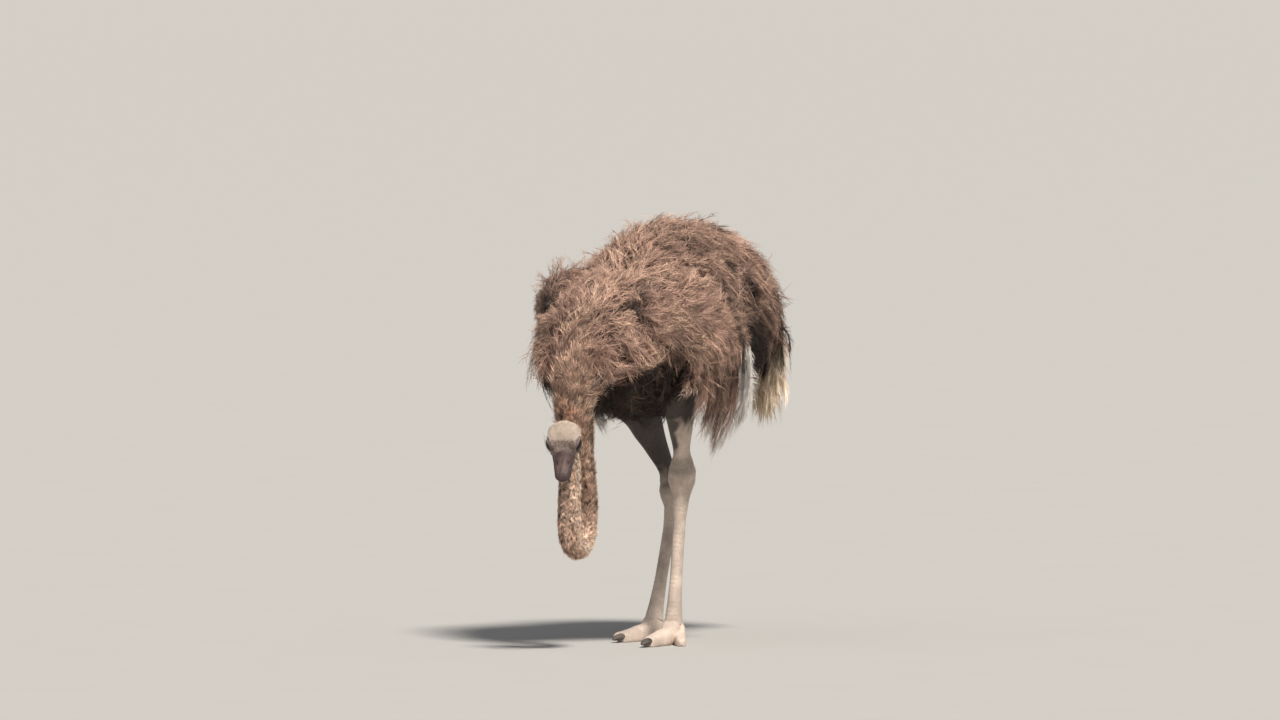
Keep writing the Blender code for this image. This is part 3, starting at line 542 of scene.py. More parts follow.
def neckAndHead():
    # rings up the neck's route, then a fan of rings about the pivot round the skull, then rings square to
    # the face. Near the head each ring's radii are found by halving steps along its rays.
    count = neckShape["around"]
    c, s = turnsOf(count)
    height = toHead(neckRoute)
    crossing = 300 + np.argmax(height[300:, 2] > pivot[2])
    at = np.linspace(0, crossing, neckShape["rows"])
    centres = np.stack([np.interp(at, np.arange(401), neckRoute[:, k]) for k in range(3)], axis=1)
    along = unit(np.gradient(centres, axis=0))
    turning = np.clip((at / crossing - 0.86) / 0.14, 0, 1)[:, None] ** 2 * 1.0
    side = unit(np.array([1.0, 0, 0]) * (1 - turning) + headLeft * turning)
    up = unit(np.cross(along, side) * (1 - turning) + headNape * turning)
    side = unit(side - (side * up).sum(1, keepdims=True) * up)
    radius = np.broadcast_to(np.interp(at, np.arange(401), neckInner)[:, None], (len(at), count)).copy()

    start = toHead(centres[-1:])[0]
    angle = np.linspace(0, math.pi / 2, 56)[1:]
    middle = keyed(((0.0, start[1] - pivot[1]), (0.8, 0.064), (1.571, 0.0575)), angle)[0]
    fanCentres = np.stack([start[0] * np.clip(1 - angle, 0, 1), pivot[1] + middle * np.cos(angle),
                           pivot[2] + middle * np.sin(angle)], axis=1)
    fanUp = np.stack([0 * angle, np.cos(angle), np.sin(angle)], axis=1)
    forward = np.linspace(0.020, 0.040, 9)[1:]
    top, bottom = keyed(headShape["keys"], forward)[1:]
    faceCentres = np.stack([0 * forward, -forward, (top + bottom) / 2], axis=1)
    faceUp = np.broadcast_to([0.0, 0.0, 1.0], faceCentres.shape)
    headCentres, headUp = np.vstack([fanCentres, faceCentres]), np.vstack([fanUp, faceUp])

    near = at > crossing - 60
    allCentres = np.vstack([toHead(centres[near]), headCentres])
    allSides = np.vstack([side[near] @ headAxes.T, np.broadcast_to([1.0, 0, 0], headCentres.shape)])
    allUps = np.vstack([up[near] @ headAxes.T, headUp])
    rays = allSides[:, None] * c[:, None] + allUps[:, None] * s[:, None]
    least, most = np.zeros(rays.shape[:2]), np.full(rays.shape[:2], 0.085)
    for _ in range(15):
        halfway = (least + most) / 2
        inside = headDistance(allCentres[:, None] + rays * halfway[..., None]) < 0
        least, most = np.where(inside, halfway, least), np.where(inside, most, halfway)
    found = (least + most) / 2
    tuck = np.clip((np.concatenate([np.zeros(len(found) - 8), forward - 0.030]) / 0.012), 0, 1) * 0.0035
    found = found - tuck[:, None]
    body = centres[:, None] + radius[..., None] * (side[:, None] * c[:, None] + up[:, None] * s[:, None])
    rings = np.concatenate([body[~near], fromHead(allCentres[:, None] + rays * found[..., None])])
    return rings, int((~near).sum() + near.sum())


legShape = {
    "left": {"knee": (0.165, -0.030, 0.900), "ankle": (0.090, 0.117, 0.503), "ball": (0.082, 0.080, 0.074),
             "turn": math.radians(5)},
    "right": {"knee": (-0.150, 0.110, 0.860), "ankle": (-0.084, 0.364, 0.440), "ball": (-0.076, 0.225, 0.074),
              "turn": math.radians(-4)},
    "bend": 0.16, "rows": 340, "around": 56, "skin": 0.0012,
    # 0 at the knee, 1 at the ankle, 2 at the toes' joint; half width across, half depth
    "keys": ((0.00, 0.078, 0.100), (0.25, 0.072, 0.092), (0.50, 0.047, 0.062), (0.70, 0.031, 0.041),
             (0.84, 0.024, 0.031), (0.93, 0.034, 0.039), (1.00, 0.041, 0.046), (1.06, 0.038, 0.043),
             (1.17, 0.024, 0.031), (1.34, 0.018, 0.023), (1.64, 0.0175, 0.0215), (1.86, 0.0215, 0.025),
             (2.00, 0.0285, 0.0300)),
    "scuteTall": 0.0135, "scuteDeep": 0.0011,
}
toeShape = {
    "big": (0.168, 0.0285, 0.094), "small": (0.112, 0.0180, 0.070), "spread": math.radians(30), "out": 0.020,
    "heel": 0.034, "rows": 84, "around": 48, "scuteTall": 0.0085, "scuteDeep": 0.0010,
    # share of the toe, share of its width, share of its height
    "keys": ((0.00, 0.50, 0.30), (0.05, 0.82, 0.62), (0.12, 1.00, 0.88), (0.20, 1.08, 0.96), (0.28, 1.02, 0.78),
             (0.38, 0.92, 0.56), (0.55, 1.02, 0.49), (0.72, 0.86, 0.42), (0.86, 0.88, 0.37), (0.95, 0.72, 0.32),
             (1.00, 0.45, 0.24)),
}


def plates(run, tall, turn):
    # a row of overlapping plates: a saw whose every tooth swells and drops, strongest on the front
    phase = np.mod(run / tall, 1)
    return (0.35 + 0.65 * np.sqrt(phase)) * np.clip((1 - phase) / 0.12, 0, 1) * np.clip(turn, 0, 1) ** 0.7


def legRings(joints):
    # straight lengths from knee to ankle to toes with the ankle rounded off by a parabola, a keyed
    # ellipse round them, plates down the front of the lower leg and folds at the ankle
    knee, ankle, ball = (np.array(joints[key]) for key in ("knee", "ankle", "ball"))
    ball = ball - (0, 0, 0.016)
    at = np.linspace(0, 2, legShape["rows"])[:, None]
    centres = np.where(at < 1, knee + (ankle - knee) * at, ankle + (ball - ankle) * (at - 1))
    bend = legShape["bend"]
    u = np.clip((at - 1 + bend) / (2 * bend), 0, 1)
    before, after = ankle - (ankle - knee) * bend, ankle + (ball - ankle) * bend
    bent = before * (1 - u) ** 2 + 2 * ankle * u * (1 - u) + after * u**2
    centres = np.where(np.abs(at - 1) < bend, bent, centres)
    at = at[:, 0]
    wide, deep = keyed(legShape["keys"], at)
    side = np.broadcast_to([1.0, 0.0, 0.0], centres.shape)
    rings = tube(centres, side, wide - legShape["skin"], deep - legShape["skin"], legShape["around"])
    c, s = turnsOf(legShape["around"])
    run = np.concatenate([[0], np.cumsum(np.linalg.norm(np.diff(centres, axis=0), axis=1))])
    away = unit(rings - centres[:, None])
    front = np.where(away[..., 1] < 0, -away[..., 1], 0)
    lower = np.clip((at - 1.10) / 0.08, 0, 1) * np.clip((2.0 - at) / 0.05, 0, 1)
    swell = legShape["scuteDeep"] * plates(run[:, None], legShape["scuteTall"], (front - 0.35) / 0.3) * lower[:, None]
    back = np.clip(away[..., 1], 0, 1)
    folds = np.exp(-((at - 1.0) / 0.09) ** 2)[:, None] * (0.0012 * np.sin(run[:, None] * 700) * back
                                                         + 0.0016 * waves(rings, 0.030, 11))
    muscle = 0.0030 * waves(rings, 0.110, 12) * np.clip((0.75 - at) / 0.3, 0, 1)[:, None]
    tendon = 0.0016 * np.exp(-((c[None] * 1.0) / 0.28) ** 2) * (s[None] < 0) * lower[:, None]
    return rings + away * (swell + folds + muscle - tendon * 0.4)[..., None]


def toeRings(root, turn, size):
    # a toe along the ground: a keyed section with a flat sole, plates over the top and pads below
    length, halfWide, jointHigh = size
    forward = np.array([math.sin(turn), -math.cos(turn), 0.0])
    side = np.array([math.cos(turn), math.sin(turn), 0.0])
    share = bunched(toeShape["rows"])
    wide, high = keyed(toeShape["keys"], share)
    wide, high = halfWide * wide - 0.001, np.minimum(jointHigh * high, 0.074) - 0.001
    reach = share * (length + toeShape["heel"] - 0.002) - toeShape["heel"] + 0.001
    centres = np.array(root) * (1, 1, 0) + forward * reach[:, None]
    c, s = turnsOf(toeShape["around"])
    c, s = np.sign(c) * np.abs(c) ** 0.8, np.sign(s) * np.abs(s) ** 0.8
    middle = 0.42 * high
    z = middle[:, None] + np.where(s > 0, (high - middle)[:, None], (middle + 0.006)[:, None]) * s
    x = wide[:, None] * c
    top = np.clip(s, 0, 1) * np.clip((share - 0.16) / 0.1, 0, 1)[:, None]
    swell = toeShape["scuteDeep"] * plates(reach[:, None], toeShape["scuteTall"], top)
    pads = 0.0014 * np.abs(np.sin(reach[:, None] / 0.022 * math.pi)) * np.clip(-s + 0.5, 0, 1)
    z = z + swell
    x = x + np.sign(c) * (pads + 0.4 * swell)
    points = centres[:, None] + x[..., None] * side
    points[..., 2] = np.maximum(z, 0.0004 + 0.0006 * np.abs(c) ** 6)
    return points


wingShape = {
    "front": -0.285, "rear": 0.225, "round": 0.070, "middle": 0.880, "lean": 1.3, "tuck": 0.8, "coat": 0.030,
    # place along the body, distance of the middle from the midline, half thickness, top, bottom
    "keys": ((-0.285, 0.150, 0.050, 1.030, 0.900), (-0.240, 0.176, 0.056, 1.065, 0.850),
             (-0.180, 0.206, 0.062, 1.095, 0.805), (-0.100, 0.240, 0.068, 1.105, 0.745),
             (0.000, 0.260, 0.070, 1.095, 0.700), (0.100, 0.268, 0.066, 1.050, 0.680),
             (0.165, 0.266, 0.058, 0.975, 0.680), (0.225, 0.256, 0.048, 0.880, 0.700)),
    # place and the lowest flesh of the folded wing, under which the long plumes hang free
    # place and how much closer to the flank the folded wing's rear part lies
    "slim": ((-0.30, 0.0), (-0.05, 0.0), (0.09, 0.024), (0.30, 0.032)),
    "edge": ((-0.30, 0.94), (-0.18, 0.895), (-0.08, 0.850), (0.05, 0.81), (0.30, 0.80)),
    # how much higher each wing is carried and how much further it reaches back
    "left": (0.0, 1.0), "right": (0.060, 1.16),
    # place and lowest point of each hanging bunch of plumes
    "bunches": ((-0.085, 0.715), (-0.018, 0.655), (0.050, 0.600), (0.118, 0.557), (0.142, 0.615), (0.148, 0.640)),
}


def wingMiddle(out, z):
    # how far out the wing's middle is at a height: it bends in by a parabola above and below
    above, below = np.maximum(z - wingShape["middle"], 0), np.maximum(wingShape["middle"] - z, 0)
    return out - wingShape["lean"] * above**2 - wingShape["tuck"] * below**2


def wingRings(sideName, side, rows, count, inset):
    # an upright lens at each place along the wing, bent in above and below, shrunk by the inset
    lift, stretch = wingShape[sideName]
    front, rear = wingShape["front"] + inset, wingShape["rear"] - inset
    place = front + (rear - front) * bunched(rows)
    out, thick, top, bottom = keyed(wingShape["keys"], place)
    bottom = np.maximum(bottom, keyed(wingShape["edge"], place)[0] - inset) + lift
    reach = wingShape["round"]
    full = roundEnd(place - front, reach, 0.12) * roundEnd(rear - place, reach, 0.12)
    c, s = turnsOf(count)
    c, s = np.sign(c) * np.abs(c) ** 0.85, np.sign(s) * np.abs(s) ** 0.85
    z = ((top + bottom) / 2)[:, None] + (((top - bottom) / 2 - inset) * full)[:, None] * s
    out = out - keyed(wingShape["slim"], place)[0]
    x = wingMiddle(out[:, None], z) + ((thick - inset) * full)[:, None] * c
    y = wingShape["front"] + (place - wingShape["front"]) * stretch
    return np.stack([side * x, np.broadcast_to(y[:, None], x.shape), z], axis=2)


def lidRings(side):
    # an eyelid: a ring of flesh round the eye's outward line. Its opening is an almond, wider along the
    # head than up and down, and its section is a closed curve from the eyeball out to the skirt.
    eye = np.array([side * headShape["eyeOut"], 0.0, headShape["eyeUp"]])
    out = unit(np.array([side, -0.30, 0.10]))
    fore = unit(np.array([0.0, -1.0, 0.0]) + out * out[1])
    above = np.cross(out, fore) * side
    above = above * np.sign(above[2])
    angle = np.linspace(0, 2 * math.pi, 144, endpoint=False)[:, None]
    opening = 0.80 + 0.13 * np.cos(2 * angle) - 0.07 * np.sin(angle)
    t = np.linspace(0, 2 * math.pi, 30, endpoint=False)[None, :]
    polar = opening + 0.34 * (1 - np.cos(t)) / 2
    upper = 0.5 + 0.5 * np.sin(angle)
    height = headShape["eyeRadius"] + 0.0002 + (0.0019 + 0.0012 * upper) * (1 + np.sin(t)) / 2 * (
        0.55 + 0.45 * np.clip(1.5 - np.cos(t), 0, 1)) - 0.0050 * ((1 - np.cos(t)) / 2) ** 3
    height = height + 0.00022 * np.sin(58 * polar + 1.6 * np.sin(3 * angle) + 0.9 * np.sin(7 * angle)) * (np.sin(t) > 0)
    direction = (np.cos(polar)[..., None] * out + np.sin(polar)[..., None] * (
        np.cos(angle)[..., None] * fore + np.sin(angle)[..., None] * above))
    return fromHead(eye + height[..., None] * direction), fromHead(eye), out @ headAxes, (fore @ headAxes, above @ headAxes)


def closedLoop(name, rings):
    # a ring of sections joined end to end, as a bent tube with no ends
    rows, count, _ = rings.shape
    i, j = np.arange(rows)[:, None], np.arange(count)
    a, b = i * count + j, i * count + (j + 1) % count
    c, d = (i + 1) % rows * count + (j + 1) % count, (i + 1) % rows * count + j
    quads = np.stack([a, b, c, d], axis=-1).reshape(-1, 4)
    p = rings.reshape(-1, 3) - rings.reshape(-1, 3).mean(0)
    if (p[quads[:, 0]] * np.cross(p[quads[:, 1]], p[quads[:, 2]])).sum() < 0:
        quads = quads[:, ::-1]
    return meshFrom(name, rings.reshape(-1, 3), [quads])


def ballRings(centre, radius, rows=28, count=40, pole=(0, 0, 1)):
    # a ball with its poles on a given line: rings at equal angles from one pole to the other
    pole = unit(np.array(pole, float))
    across = unit(np.cross(pole, (0.3, 0.9, 0.1)))
    polar = np.linspace(0.02, math.pi - 0.02, rows)[:, None]
    c, s = turnsOf(count)
    around = across * c[:, None] + np.cross(pole, across) * s[:, None]
    return centre + radius * (np.cos(polar)[..., None] * pole + np.sin(polar)[..., None] * around)


trunkSkin = trunkRings(120, 112, trunkShape["coat"])
neckSkin, neckRows = neckAndHead()
forms = [closedForm("trunkForm", trunkSkin), closedForm("neckForm", neckSkin)]
wingSkins = {}
for sideName, side in eyeSides:
    joints = legShape[sideName]
    root = np.array(joints["ball"])
    forms.append(closedForm(f"legForm_{sideName}", legRings(joints)))
    forms.append(closedForm(f"toeForm_{sideName}", toeRings(root, joints["turn"], toeShape["big"])))
    smallRoot = root + (side * toeShape["out"], 0, 0)
    smallTurn = joints["turn"] + side * toeShape["spread"]
    forms.append(closedForm(f"smallToeForm_{sideName}", toeRings(smallRoot, smallTurn, toeShape["small"])))
    wingSkins[sideName] = wingRings(sideName, side, 60, 64, wingShape["coat"])
    forms.append(closedForm(f"wingForm_{sideName}", wingSkins[sideName]))
lids, eyes = {}, {}
for sideName, side in eyeSides:
    rings, eyeCentre, gaze, _ = lidRings(side)
    lids[sideName] = (rings, eyeCentre, gaze)
    forms.append(closedLoop(f"lidForm_{sideName}", rings))
print("skin: forms made")


def unite(name, forms, cutters):
    # one closed skin: every form joined to the first by Boolean union, then the cutters taken out
    whole = forms[0]
    for other, operation in [(form, "UNION") for form in forms[1:]] + [(form, "DIFFERENCE") for form in cutters]:
        modifier = whole.modifiers.new(other.name, "BOOLEAN")
        modifier.operation, modifier.solver, modifier.object = operation, "MANIFOLD", other
    graph = bpy.context.evaluated_depsgraph_get()
    mesh = bpy.data.meshes.new_from_object(whole.evaluated_get(graph))
    for old in [*forms, *cutters]:
        bpy.data.objects.remove(old)
    mesh.name = name
    mesh.shade_smooth()
    made = bpy.data.objects.new(name, mesh)
    bpy.context.scene.collection.objects.link(made)
    return made


sockets = [closedForm(f"socket_{sideName}", ballRings(lids[sideName][1], headShape["eyeRadius"] + 0.0001))
           for sideName, _ in eyeSides]
skin = unite("skin", forms, sockets)
skinPoints = np.empty(len(skin.data.vertices) * 3, np.float32)
skin.data.vertices.foreach_get("co", skinPoints)
skinPoints = skinPoints.reshape(-1, 3) - placeOfBird


def nearNeck(points):
    # the share of the neck's route nearest to each point, and how far outside its surface the point is
    route, radius = neckRoute[::4], neckInner[::4]
    share, gap = np.empty(len(points)), np.empty(len(points))
    done = 0
    for block in np.array_split(points, 40):
        apart = np.linalg.norm(block[:, None] - route[None], axis=-1) - radius
        nearest = apart.argmin(1)
        share[done:done + len(block)] = nearest / (len(route) - 1)
        gap[done:done + len(block)] = apart[np.arange(len(block)), nearest]
        done += len(block)
    return share, gap


# where on the bird each point of skin is: bare leg, neck and head, and how far up the neck
share, gap = nearNeck(skinPoints)
inHeadFrame = toHead(skinPoints)
onHead = np.clip(1 - (np.linalg.norm(inHeadFrame, axis=1) - 0.085) / 0.02, 0, 1)
onNeck = np.maximum(np.clip(1 - gap / 0.006, 0, 1), onHead)
onLeg = np.clip((0.74 - skinPoints[:, 2]) / 0.05, 0, 1) * (1 - onNeck)
onFace = onHead * np.clip((-inHeadFrame[:, 1] - 0.012) / 0.016, 0, 1)
for _, side in eyeSides:
    toEye = np.linalg.norm(inHeadFrame - (side * headShape["eyeOut"], 0.0, headShape["eyeUp"]), axis=1)
    onFace = np.maximum(onFace, np.clip((0.034 - toEye) / 0.004, 0, 1))
# painted shade on the bare legs: the body's shadow darkens the top of each leg, the left from 0.636 m up and the right
# from 0.420 m up, and shade runs down the left leg's inner front edge above the ankle
left = skinPoints[:, 0] > 0
uneven = 0.012 * waves(skinPoints, 0.025, 71, 4)
inShade = np.clip((skinPoints[:, 2] + uneven - np.where(left, 0.636, 0.420)) / np.where(left, 0.032, 0.09), 0, 1)
inner = 0.127 - skinPoints @ (0.848, 0.530, 0.0) + 0.5 * uneven
inShade = np.maximum(inShade, left * np.clip(inner / 0.010, 0, 0.9) * np.clip((skinPoints[:, 2] - 0.555) / 0.025, 0, 1))
for key, value in (("onNeck", onNeck), ("onLeg", onLeg), ("onFace", onFace), ("inShade", inShade)):
    skin.data.attributes.new(key, "FLOAT", "POINT").data.foreach_set("value", value.astype(np.float32))
print(f"skin: one mesh of {len(skin.data.polygons)} faces")

# the coat

coatShape = {
    # number, locks they gather in, coat's depth, length, half width, rise from the skin, bend back to it
    "body": (11200, 1700, 0.050, 0.106, 0.0165, 0.47, 0.25),
    "wing": (2500, 380, 0.030, 0.104, 0.0165, 0.45, 0.22),
    "gather": 0.58, "ruffled": ((-0.185, 1.060), (-0.115, 1.095)), "neck": 12500, "head": 6500,
}


def insideTrunk(points, inset=0.0):
    # below 1 inside the trunk's section: the distance from its middle line over its half width and height
    wide, top, bottom, level = keyed(trunkShape["keys"], points[..., 1])
    full = roundEnd(points[..., 1] - trunkShape["front"] - inset, trunkShape["chestRound"], 0.03)
    tall = np.where(points[..., 2] > level, top - level, level - bottom) - inset
    return np.hypot(points[..., 0] / ((wide - inset) * full), (points[..., 2] - level) / (tall * full))


def bodyWanted(p):
    # feathers lie back and a little down; on the breast they spread from the neck's root and hang
    breast = np.clip((-0.12 - p[:, 1]) / 0.20, 0, 1)[:, None]
    spread = (p - (0.0, -0.42, 0.90)) * (1.0, 0.3, 1.0)
    outward = np.sign(p[:, :1]) * np.clip(np.abs(p[:, :1]) / 0.1, 0, 1) * (0.16, 0.0, 0.0)
    side = np.clip(np.abs(p[:, :1]) / 0.2, 0, 1)
    return ((0.0, 1.0, -0.12) - side * (0.0, 0.0, 0.50)) * (1 - 0.5 * breast) + outward + breast * (
        1.6 * unit(spread) * (1, 1, 0.7) - (0.0, 0.0, 0.55))


def wingWanted(p):
    # feathers lie back over the wing, turn down towards its lower edge and hang at its rear
    low = np.clip((0.95 - p[:, 2]) / 0.22, 0, 1)
    rear = np.clip((p[:, 1] - 0.02) / 0.15, 0, 1)
    down = 0.10 + 0.55 * low + 1.0 * low * rear + 2.2 * rear
    return np.stack([0 * down, 1 - 0.75 * rear, -down], axis=1)


def rowsOf(rings, values):
    return np.broadcast_to(np.asarray(values), rings.shape[:2])


plumeKinds = [featherPattern(random, 10, 2, 0.042, 0.17, opening, wave=0.45)
              for opening in (0.45, 0.6, 0.75, 0.55, 0.9, 0.65)]
longKinds = [featherPattern(random, 40, 2, 0.034, 0.15, opening, 1.4, wave=0.4, tipReach=0.12)
             for opening in (0.35, 0.45, 0.6, 0.5)]
tuftKinds = [tuftPattern(random, 4) for _ in range(6)]
fuzzKinds = [tuftPattern(random, 3, 0.7) for _ in range(4)]

under = (np.abs(trunkSkin[..., 1] + 0.02) < 0.17) & (np.abs(trunkSkin[..., 2] - 0.95) < 0.08)
bodyCount, bodyLocks, bodyDepth, *bodyMeasures = coatShape["body"]
sparse = np.where(under, 0.6, 1.0) * np.clip(1 - (0.84 - trunkSkin[..., 2]) / 0.10, 0.6, 1)
seats = scatter(trunkSkin, bodyCount, 5, sparse)
seats = styled(seats, 6, bodyWanted(seats["root"]), *bodyMeasures, curl=0.36, roll=0.45, astray=0.20)
seats = settle(gather(seats, bodyLocks, coatShape["gather"], 7, 0.42), trunkSkin, bodyDepth, 8)
y, z, x = seats["root"][:, 1], seats["root"][:, 2], seats["root"][:, 0]
# painted light: the breast's feathers are lighter, where the light falls on the breast
seats["tone"] = seats["tone"] + 0.24 * np.clip((-0.15 - y) / 0.1, 0, 1)
region = np.select([y < -0.17, z < 0.80, y > 0.42, z > 1.08, x > 0], [0, 1, 2, 3, 4], 5)
plumes = [plant(name, pick(seats, region == index), plumeKinds, shade=True) for index, name in enumerate(
    ("breastPlumes", "bellyPlumes", "rumpPlumes", "backPlumes", "flankPlumes_left", "flankPlumes_right"))]

wingPlumes = {}
for index, (sideName, side) in enumerate(eyeSides):
    count, locks, depth, *measures = coatShape["wing"]
    rings = wingSkins[sideName]
    outside = (rings[..., 0] * side - (rings[..., 0] * side).mean(1, keepdims=True)) > -0.02
    lift = wingShape[sideName][0]
    y, z = rings[..., 1], rings[..., 2] - lift
    free = np.clip((0.115 - y + 0.45 * np.clip(z - 0.91, 0, 1)) / 0.03, 0.35, 1)
    free = free * np.clip((z - 0.84 + 1.2 * np.clip(-0.02 - y, 0, 1)) / 0.03, 0.08, 1) + 2.0 * (y < -0.225)
    seats = scatter(rings, count, 21 + index, np.maximum(np.where(outside, 1.0, 0.45), 1.0 * (y < -0.22)) * free)
    seats["normal"] = unit(seats["normal"] * (1.0, 0.6, 0.25))
    seats = styled(seats, 31 + index, wingWanted(seats["root"]), *measures, swirl=0.25, curl=0.30, roll=0.45, astray=0.18)
    seats["length"] = seats["length"] * np.clip((seats["root"][:, 1] - wingShape["front"]) / 0.12, 0.62, 1) * np.where(
        (seats["root"][:, 1] > 0.125) & (seats["root"][:, 2] < 0.93 + lift), 0.45, 1)
    seats = settle(gather(seats, locks, coatShape["gather"], 33 + index, 0.2), rings, depth, 35 + index, -0.1, 0.25)
    if sideName == "right":  # two ruffled tufts stand up at the shoulder
        for spot in coatShape["ruffled"]:
            stray = np.linalg.norm(seats["root"][:, 1:] - spot, axis=1) < 0.016
            seats["bend"][stray], seats["lift"][stray], seats["length"][stray] = -0.10, 0.55, 0.062
    wingPlumes[sideName] = plant(f"wingPlumes_{sideName}", seats, plumeKinds, shade=True, hanging=1.0)

# painted light and shade in the bunches' tones: the front bunch is darker for its shade, the others lighter than their
# shade under the wing leaves them
quillShape = {"perBunch": 27, "length": (0.15, 0.21, 0.26, 0.31, 0.27, 0.205), "setBack": 0.030, "bow": 0.020,
              "sway": 0.008, "width": 0.026, "white": (0.08, 0.18, 0.24, 0.32, 0.85, 1.60),
              "tone": (0.00, 0.34, 0.46, 0.46, 0.40, 0.60), "out": (0.0, 0.016, 0.022, 0.018, 0.014, 0.043)}


def quillSeats(sideName, side, seed):
    # each hanging bunch: plumes from the wing's lower edge that fall in strands, whose roots and tips are
    # scattered round the bunch's own root and tip; the rearmost ones are white
    own = np.random.default_rng(seed)
    lift, stretch = wingShape[sideName]
    place, lowest = np.repeat(np.array(wingShape["bunches"]), quillShape["perBunch"], axis=0).T
    number = np.repeat(np.arange(len(wingShape["bunches"])), quillShape["perBunch"])
    count = len(place)
    out = keyed(wingShape["keys"], place)[0] + quillShape["sway"] * np.sin(2.1 * number)
    out = out + np.array(quillShape["out"])[number]
    y = wingShape["front"] + (place - wingShape["front"]) * stretch
    strand = number * 6 + own.integers(0, 6, count)
    apart, lower, fair = own.uniform(-1, 1, (36, 4)), own.uniform(0, 0.075, 36) ** 1.2, own.permutation(36) / 35
    low = lowest + lift + (lower + 0.3 * apart[:, 3] * 0.03)[strand] + own.uniform(0.0, 0.045, count)
    high = lowest + lift + np.array(quillShape["length"])[number] + own.uniform(-0.04, 0.04, count)
    spread = np.where(number == 5, 1.6, 1.0)
    root = np.stack([side * (wingMiddle(out, high) + 0.014 * apart[strand, 0] + own.uniform(-0.008, 0.008, count)),
                     y - quillShape["setBack"] + 0.020 * spread * apart[strand, 1] + own.uniform(-0.008, 0.008, count),
                     high], axis=1)
    tip = np.stack([side * (wingMiddle(out, low) + 0.020 * apart[strand, 0] + own.uniform(-0.008, 0.008, count)),
                    y + 0.030 * apart[strand, 2] + own.uniform(-0.008, 0.008, count), low], axis=1)
    control = (root + tip) / 2 + np.stack([side * (quillShape["bow"] + own.uniform(-0.01, 0.02, count)),
                                           own.uniform(-0.01, 0.02, count), own.uniform(-0.01, 0.02, count)], axis=1)
    white = np.array(quillShape["white"])[number] * np.where(number == 5, 1.0, 0.2 + 2.0 * fair[strand])
    normal = np.stack([np.full(count, side), own.normal(0, 0.5, count), np.zeros(count)], axis=1)
    seats = arched(root, control, tip, normal, quillShape["width"], white, seed + 1)
    seats["tone"] = 2.0 * fair[strand] - 0.80 + 0.3 * seats["tone"] + np.array(quillShape["tone"])[number]
    return seats


quills = [plant(f"wingQuills_{sideName}", quillSeats(sideName, side, 51 + index), longKinds)
          for index, (sideName, side) in enumerate(eyeSides)]

tailShape = {
    "perLobe": (40, 110, 60, 70, 40), "fringe": 110, "root": (0.50, 1.10), "pinch": 0.75, "width": 0.034,
    # place from the midline, how far back and how low the tip is, half width
    "lobes": ((0.0, 0.655, 0.775, 0.118), (0.072, 0.652, 0.662, 0.050), (0.122, 0.610, 0.706, 0.044),
              (-0.076, 0.650, 0.688, 0.050), (-0.124, 0.604, 0.732, 0.044)),
    # the middle lobe's low tone and small pale share are painted shade, for the shadow in the gap between the flanks
    # and the tail
    "pale": (0.12, 0.42, 0.42, 0.42, 0.42), "tone": (-0.45, 0.15, 0.15, 0.10, 0.10),
}


def tailSeats(seed):
    # each lobe: plumes that leave the rump, arch back over it and hang, scattered round the lobe's tip
    own = np.random.default_rng(seed)
    x, tipBack, lowest, wide = np.repeat(np.array(tailShape["lobes"]), tailShape["perLobe"], axis=0).T
    count = len(x)
    back, high = tailShape["root"]
    root = np.stack([tailShape["pinch"] * x + own.uniform(-0.5, 0.5, count) * wide,
                     back + own.uniform(-0.05, 0.05, count), high + own.uniform(-0.15, -0.01, count)], axis=1)
    tip = np.stack([x + own.uniform(-0.8, 0.8, count) * wide, tipBack - own.uniform(0.0, 0.075, count),
                    lowest + own.uniform(0.0, 0.13, count)], axis=1)
    control = (root + tip) / 2 + np.stack([np.zeros(count), own.uniform(0.05, 0.11, count),
                                           own.uniform(0.03, 0.08, count)], axis=1)
    normal = np.stack([own.normal(0, 0.35, count), np.ones(count), np.full(count, 0.2)], axis=1)
    pale, tone = (np.repeat(tailShape[key], tailShape["perLobe"]) for key in ("pale", "tone"))
    # painted light and shade: the tone rises on the plumes further out and back and falls on those nearest the flanks;
    # the pale share also grows outwards
    outer = 0.85 * np.abs(tip[:, 0]) + 0.53 * tip[:, 1] - 0.395
    pale = np.clip(pale + 3.2 * outer * (pale > 0.2), 0.1, 0.5) + own.uniform(-0.08, 0.10, count)
    seats = arched(root, control, tip, normal, tailShape["width"], pale, seed + 1)
    seats["tone"] = seats["tone"] + tone + np.clip(9 * outer, -0.3, 0.4)
    return seats


def fringeSeats(seed):
    # short plumes hang between the flanks and the tail: the same arch, set further forward, painted near black as the
    # shade in that gap
    own = np.random.default_rng(seed)
    count = tailShape["fringe"]
    x = own.uniform(-0.185, 0.185, count)
    root = np.stack([x, own.uniform(0.43, 0.50, count), own.uniform(0.93, 1.03, count)], axis=1)
    tip = np.stack([1.05 * x, own.uniform(0.47, 0.57, count), own.uniform(0.775, 0.87, count)], axis=1)
    control = (root + tip) / 2 + (0.0, 0.05, 0.03)
    normal = np.stack([2.5 * x, np.ones(count), np.zeros(count)], axis=1)
    seats = arched(root, control, tip, normal, 0.032, np.zeros(count), seed + 1)
    # painted shade: far darker than the other plumes
    seats["tone"] = seats["tone"] - 1.15
    return seats


both = [tailSeats(61), fringeSeats(63)]
tailPlumes = plant("tailPlumes", {key: np.concatenate([one[key] for one in both]) for key in both[0]}, longKinds)

